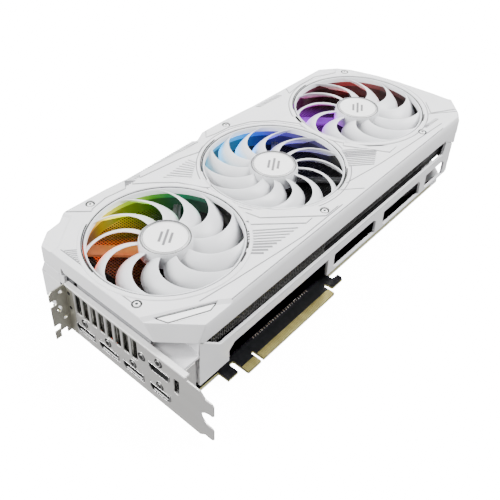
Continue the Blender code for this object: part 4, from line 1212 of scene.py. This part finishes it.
def socket(node, kind, y, z, paints):
    """Metal shell, dark liner, tongue and contacts; the lower row's tongue is a thin pale strip
    at the mouth, a painted reflection.
    """
    # light: the lower row, whose tongue is painted pale as a reflection
    light = z == SOCKET_Z
    shell = shape(node + "_shell", prism(mouth(kind, y, z), -0.3, 15.0, "x"))
    carve(shell, prism(mouth(kind, y, z, 0.45), -2.0, 14.0, "x"))
    if z > SOCKET_Z:
        add(shell, box((9.0, 14.8), (y - 6.0, y + 6.0), (12.8, z + 0.3)))
    finish(shell, paints["shell"], (node,), rounding=0.12)
    liner = shape(node + "_liner", prism(mouth(kind, y, z, 0.5), -0.1, 13.5, "x"))
    carve(liner, prism(mouth(kind, y, z, 0.85), -2.0, 11.4 if light else 2.0, "x"))
    finish(liner, paints["black"], sharp=30)
    level = z + (0.5 if light else 2.4)
    half = 6.9 if kind == "display" else 5.9
    thick = 0.9 if light else 1.1
    front, back = (0.2, 0.7) if light else (1.6, 11.6)
    tongue = shape(node + "_tongue",
                   box((front, back), (y - half, y + half), (level, level + thick)))
    # painted reflection: pale tongue on the lower row, black on the upper
    cover = paints["tongue"] if light else paints["black"]
    finish(tongue, cover, rounding=0.15)
    count = 10 if kind == "display" else 9
    pins = []
    for i in range(count):
        side = y + (i - (count - 1) / 2) * 2 * (half - 0.8) / (count - 1)
        for low in (level - 0.12, level + thick - 0.1):
            pins.append(box((5.0, 10.8), (side - 0.24, side + 0.24), (low, low + 0.22)))
    contacts = shape(node + "_pins", merged(*pins))
    finish(contacts, paints["pin_gold"], rounding=0.05)


# ----------------------------------------------------------------- board

def circuit_board(paints):
    """Board with its edge connector, front tab and hook."""
    left, right = KEY_X - KEY_WIDTH / 2, KEY_X + KEY_WIDTH / 2
    start, end = left - SHORT_SEGMENT, right + LONG_SEGMENT
    key_top = FINGER_Y + 8.4
    outline = (
        (1.8, -92.5), (33.0, -92.5), (33.0, -100.7), (41.2, -100.7), (41.6, -100.3),
        (41.6, -94.2), (42.0, -93.5), (42.6, -93.2), (start - 1.0, -93.2), (start - 0.3, -93.5),
        (start, -94.2), (start, FINGER_Y + 0.8), (start + 0.8, FINGER_Y),
        (left - 0.4, FINGER_Y), (left, FINGER_Y + 0.4), (left, key_top - 0.4),
        (left + 0.4, key_top), (right - 0.4, key_top), (right, key_top - 0.4),
        (right, FINGER_Y + 0.4), (right + 0.4, FINGER_Y), (end - 0.8, FINGER_Y),
        (end, FINGER_Y + 0.8), (end, -97.2), (end + 0.8, -96.2), (end + 1.9, -96.2),
        (end + 2.6, -97.2), (end + 2.6, -100.6), (end + 3.6, -101.6), (143.6, -101.6),
        (145.2, -99.6), (145.2, -96.6), (141.0, -96.6), (139.9, -96.0), (139.6, -95.2),
        (139.6, -93.8), (140.0, -92.9), (141.0, -92.5), (275.0, -92.5), (275.0, 20.0),
        (1.8, 20.0),
    )
    board = shape("board", prism(outline, BOARD_TOP - 1.6, BOARD_TOP))
    finish(board, paints["board"], ("circuit_board",), rounding=0.12)
    rows = (
        ("edge_contacts_short", left - SHORT_SEGMENT, left),
        ("edge_contacts_long", right, right + LONG_SEGMENT),
    )
    for node, low, high in rows:
        fingers = []
        x = low + 0.75
        while x < high - 0.4:
            fingers.append(box((x - 0.39, x + 0.39), (FINGER_Y + 0.35, FINGER_Y + 5.5),
                               (BOARD_TOP - 0.05, BOARD_TOP + 0.12)))
            x += 1.0
        gold = shape(node + "_fingers", merged(*fingers))
        finish(gold, paints["gold"], (node,), rounding=0.04)


def board_parts(paints):
    """Small parts on the board that show through the open window."""
    bodies, ends, chips = [], [], []
    rows = (
        (47.0, 1.9, 16, -88.9, 1.2), (66.0, 2.1, 26, -90.6, 1.0), (50.0, 3.7, 20, -85.6, 1.4),
        (84.0, 2.9, 14, -87.4, 1.1),
    )
    for start, pitch, count, y, length in rows:
        for i in range(count):
            x = start + pitch * i
            lift = BOARD_TOP + 0.55
            bodies.append(box((x - 0.28, x + 0.28), (y - length / 3, y + length / 3),
                              (BOARD_TOP, lift)))
            for side in (-1, 1):
                middle = y + side * length / 2.4
                ends.append(box((x - 0.3, x + 0.3), (middle - 0.17, middle + 0.17),
                                (BOARD_TOP, lift + 0.03)))
    for x, y, size in ((58.0, -80.0, 5.0), (74.0, -81.0, 4.0), (92.0, -80.5, 6.0),
                       (112.0, -81.5, 4.5), (126.0, -80.5, 5.5)):
        chips.append(box((x, x + size), (y, y + size), (BOARD_TOP, BOARD_TOP + 1.0)))
    for name, solids, paint in (
        ("small_part_bodies", bodies, "capacitor"), ("small_part_ends", ends, "solder"),
        ("small_chips", chips, "chip"),
    ):
        finish(shape(name, merged(*solids)), paints[paint], rounding=0.08)


def carried_over(frame, paints):
    """Finish the frame's own parts that stay as they are."""
    groups = (
        ("cover", ("power_side_frame",)), ("diffuser", ("light_strip",)),
        ("nickel", ("cold_plate", *("heat_pipe_" + str(i) for i in range(1, 6)))),
        ("package", ("gpu_package",)),
        ("chip", tuple("memory_chip_" + str(i) for i in range(1, 9))),
        ("choke", ("choke_bank_1", "choke_bank_2")),
        ("black", ("power_socket_1", "power_socket_2", "firmware_switch_body")),
        ("header", ("fan_header_1", "fan_header_2", "firmware_switch_slider")),
        ("backplate", ("backplate",)), ("steel", ("spring_bracket",)),
    )
    for paint, names in groups:
        for name in names:
            item = frame["nodes"][name]
            for slot in item.material_slots:
                slot.material = paints[paint]


# ---------------------------------------------------------------- studio

def studio():
    """Pale floor, soft lights and the camera."""
    corners = ((-4, -4), (4, -4), (4, 4), (-4, 4))
    mesh = bpy.data.meshes.new("floor")
    mesh.from_pydata([(x, y, -0.0004) for x, y in corners], [], [(0, 1, 2, 3)])
    floor = bpy.data.objects.new("floor", mesh)
    bpy.context.scene.collection.objects.link(floor)
    paint = surface("floor_white", (0.9, 0.9, 0.9), 0.8, grain=2.0, bump=0.02, tint=0.005)
    shader = paint.node_tree.nodes["Principled BSDF"]
    shader.inputs["Emission Color"].default_value = (1.0, 1.0, 1.0, 1.0)
    shader.inputs["Emission Strength"].default_value = 14.0
    mesh.materials.append(paint)
    floor.visible_diffuse = False
    floor.visible_glossy = False
    world = bpy.data.worlds.new("studio")
    world.use_nodes = True
    background = world.node_tree.nodes["Background"]
    background.inputs["Color"].default_value = (1.0, 1.0, 1.0, 1.0)
    background.inputs["Strength"].default_value = 0.46
    bpy.context.scene.world = world
    lamps = (
        ("key", (0.75, -0.55, 1.05), 0.7, 46.0), ("left", (-0.95, 0.6, 0.6), 0.8, 32.0),
        ("rear", (0.8, 0.75, 0.95), 0.9, 17.0),
    )
    for name, place, size, power in lamps:
        lamp = bpy.data.lights.new(name, "AREA")
        lamp.size = size
        lamp.energy = power
        light = bpy.data.objects.new(name, lamp)
        light.location = place
        light.rotation_euler = (-Vector(place)).to_track_quat("-Z", "Y").to_euler()
        bpy.context.scene.collection.objects.link(light)
    lens = bpy.data.cameras.new("camera")
    lens.lens = 51.65
    lens.sensor_width = 36.0
    lens.shift_x = 0.0397
    lens.shift_y = -0.1388
    camera = bpy.data.objects.new("camera", lens)
    heading, pitch, lean = (math.radians(angle) for angle in CAMERA_ANGLES)
    turn = Matrix.Rotation(heading, 4, "Z")
    tilt = Matrix.Rotation(pitch, 4, "X")
    roll = Matrix.Rotation(lean, 4, "Z")
    place = Matrix.Translation(CAMERA_PLACE)
    camera.matrix_world = place @ turn @ tilt @ roll
    bpy.context.scene.collection.objects.link(camera)
    bpy.context.scene.camera = camera


# ------------------------------------------------------------------ build

def build_card(frame):
    paints = finishes()
    cover_shell(paints)
    cover_panels(paints)
    cover_lines(paints)
    opening_liners(paints)
    corner_insert(paints)
    for number, spot in enumerate(SCREWS, 1):
        cover_screw(number, spot, paints)
    for number in (1, 2, 3):
        fan_rotor(number, paints)
        fan_badge(number, paints)
        fan_frame(number, paints)
        fan_lights(number, paints)
    fin_stack(paints)
    slot_side_frame(paints)
    corner_skin(paints)
    bracket(paints)
    bracket_ear(paints)
    for number, (y, z) in enumerate(BRACKET_SCREWS, 1):
        bracket_screw(number, y, z, paints)
    for row in socket_list():
        socket(*row, paints)
    circuit_board(paints)
    board_parts(paints)
    carried_over(frame, paints)


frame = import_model()
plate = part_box("io_bracket")
ORIGIN = (plate[0][0] + EAR_DEPTH * MM, plate[1][1] - 0.02 * MM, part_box("backplate")[0][2])
build_card(frame)
studio()
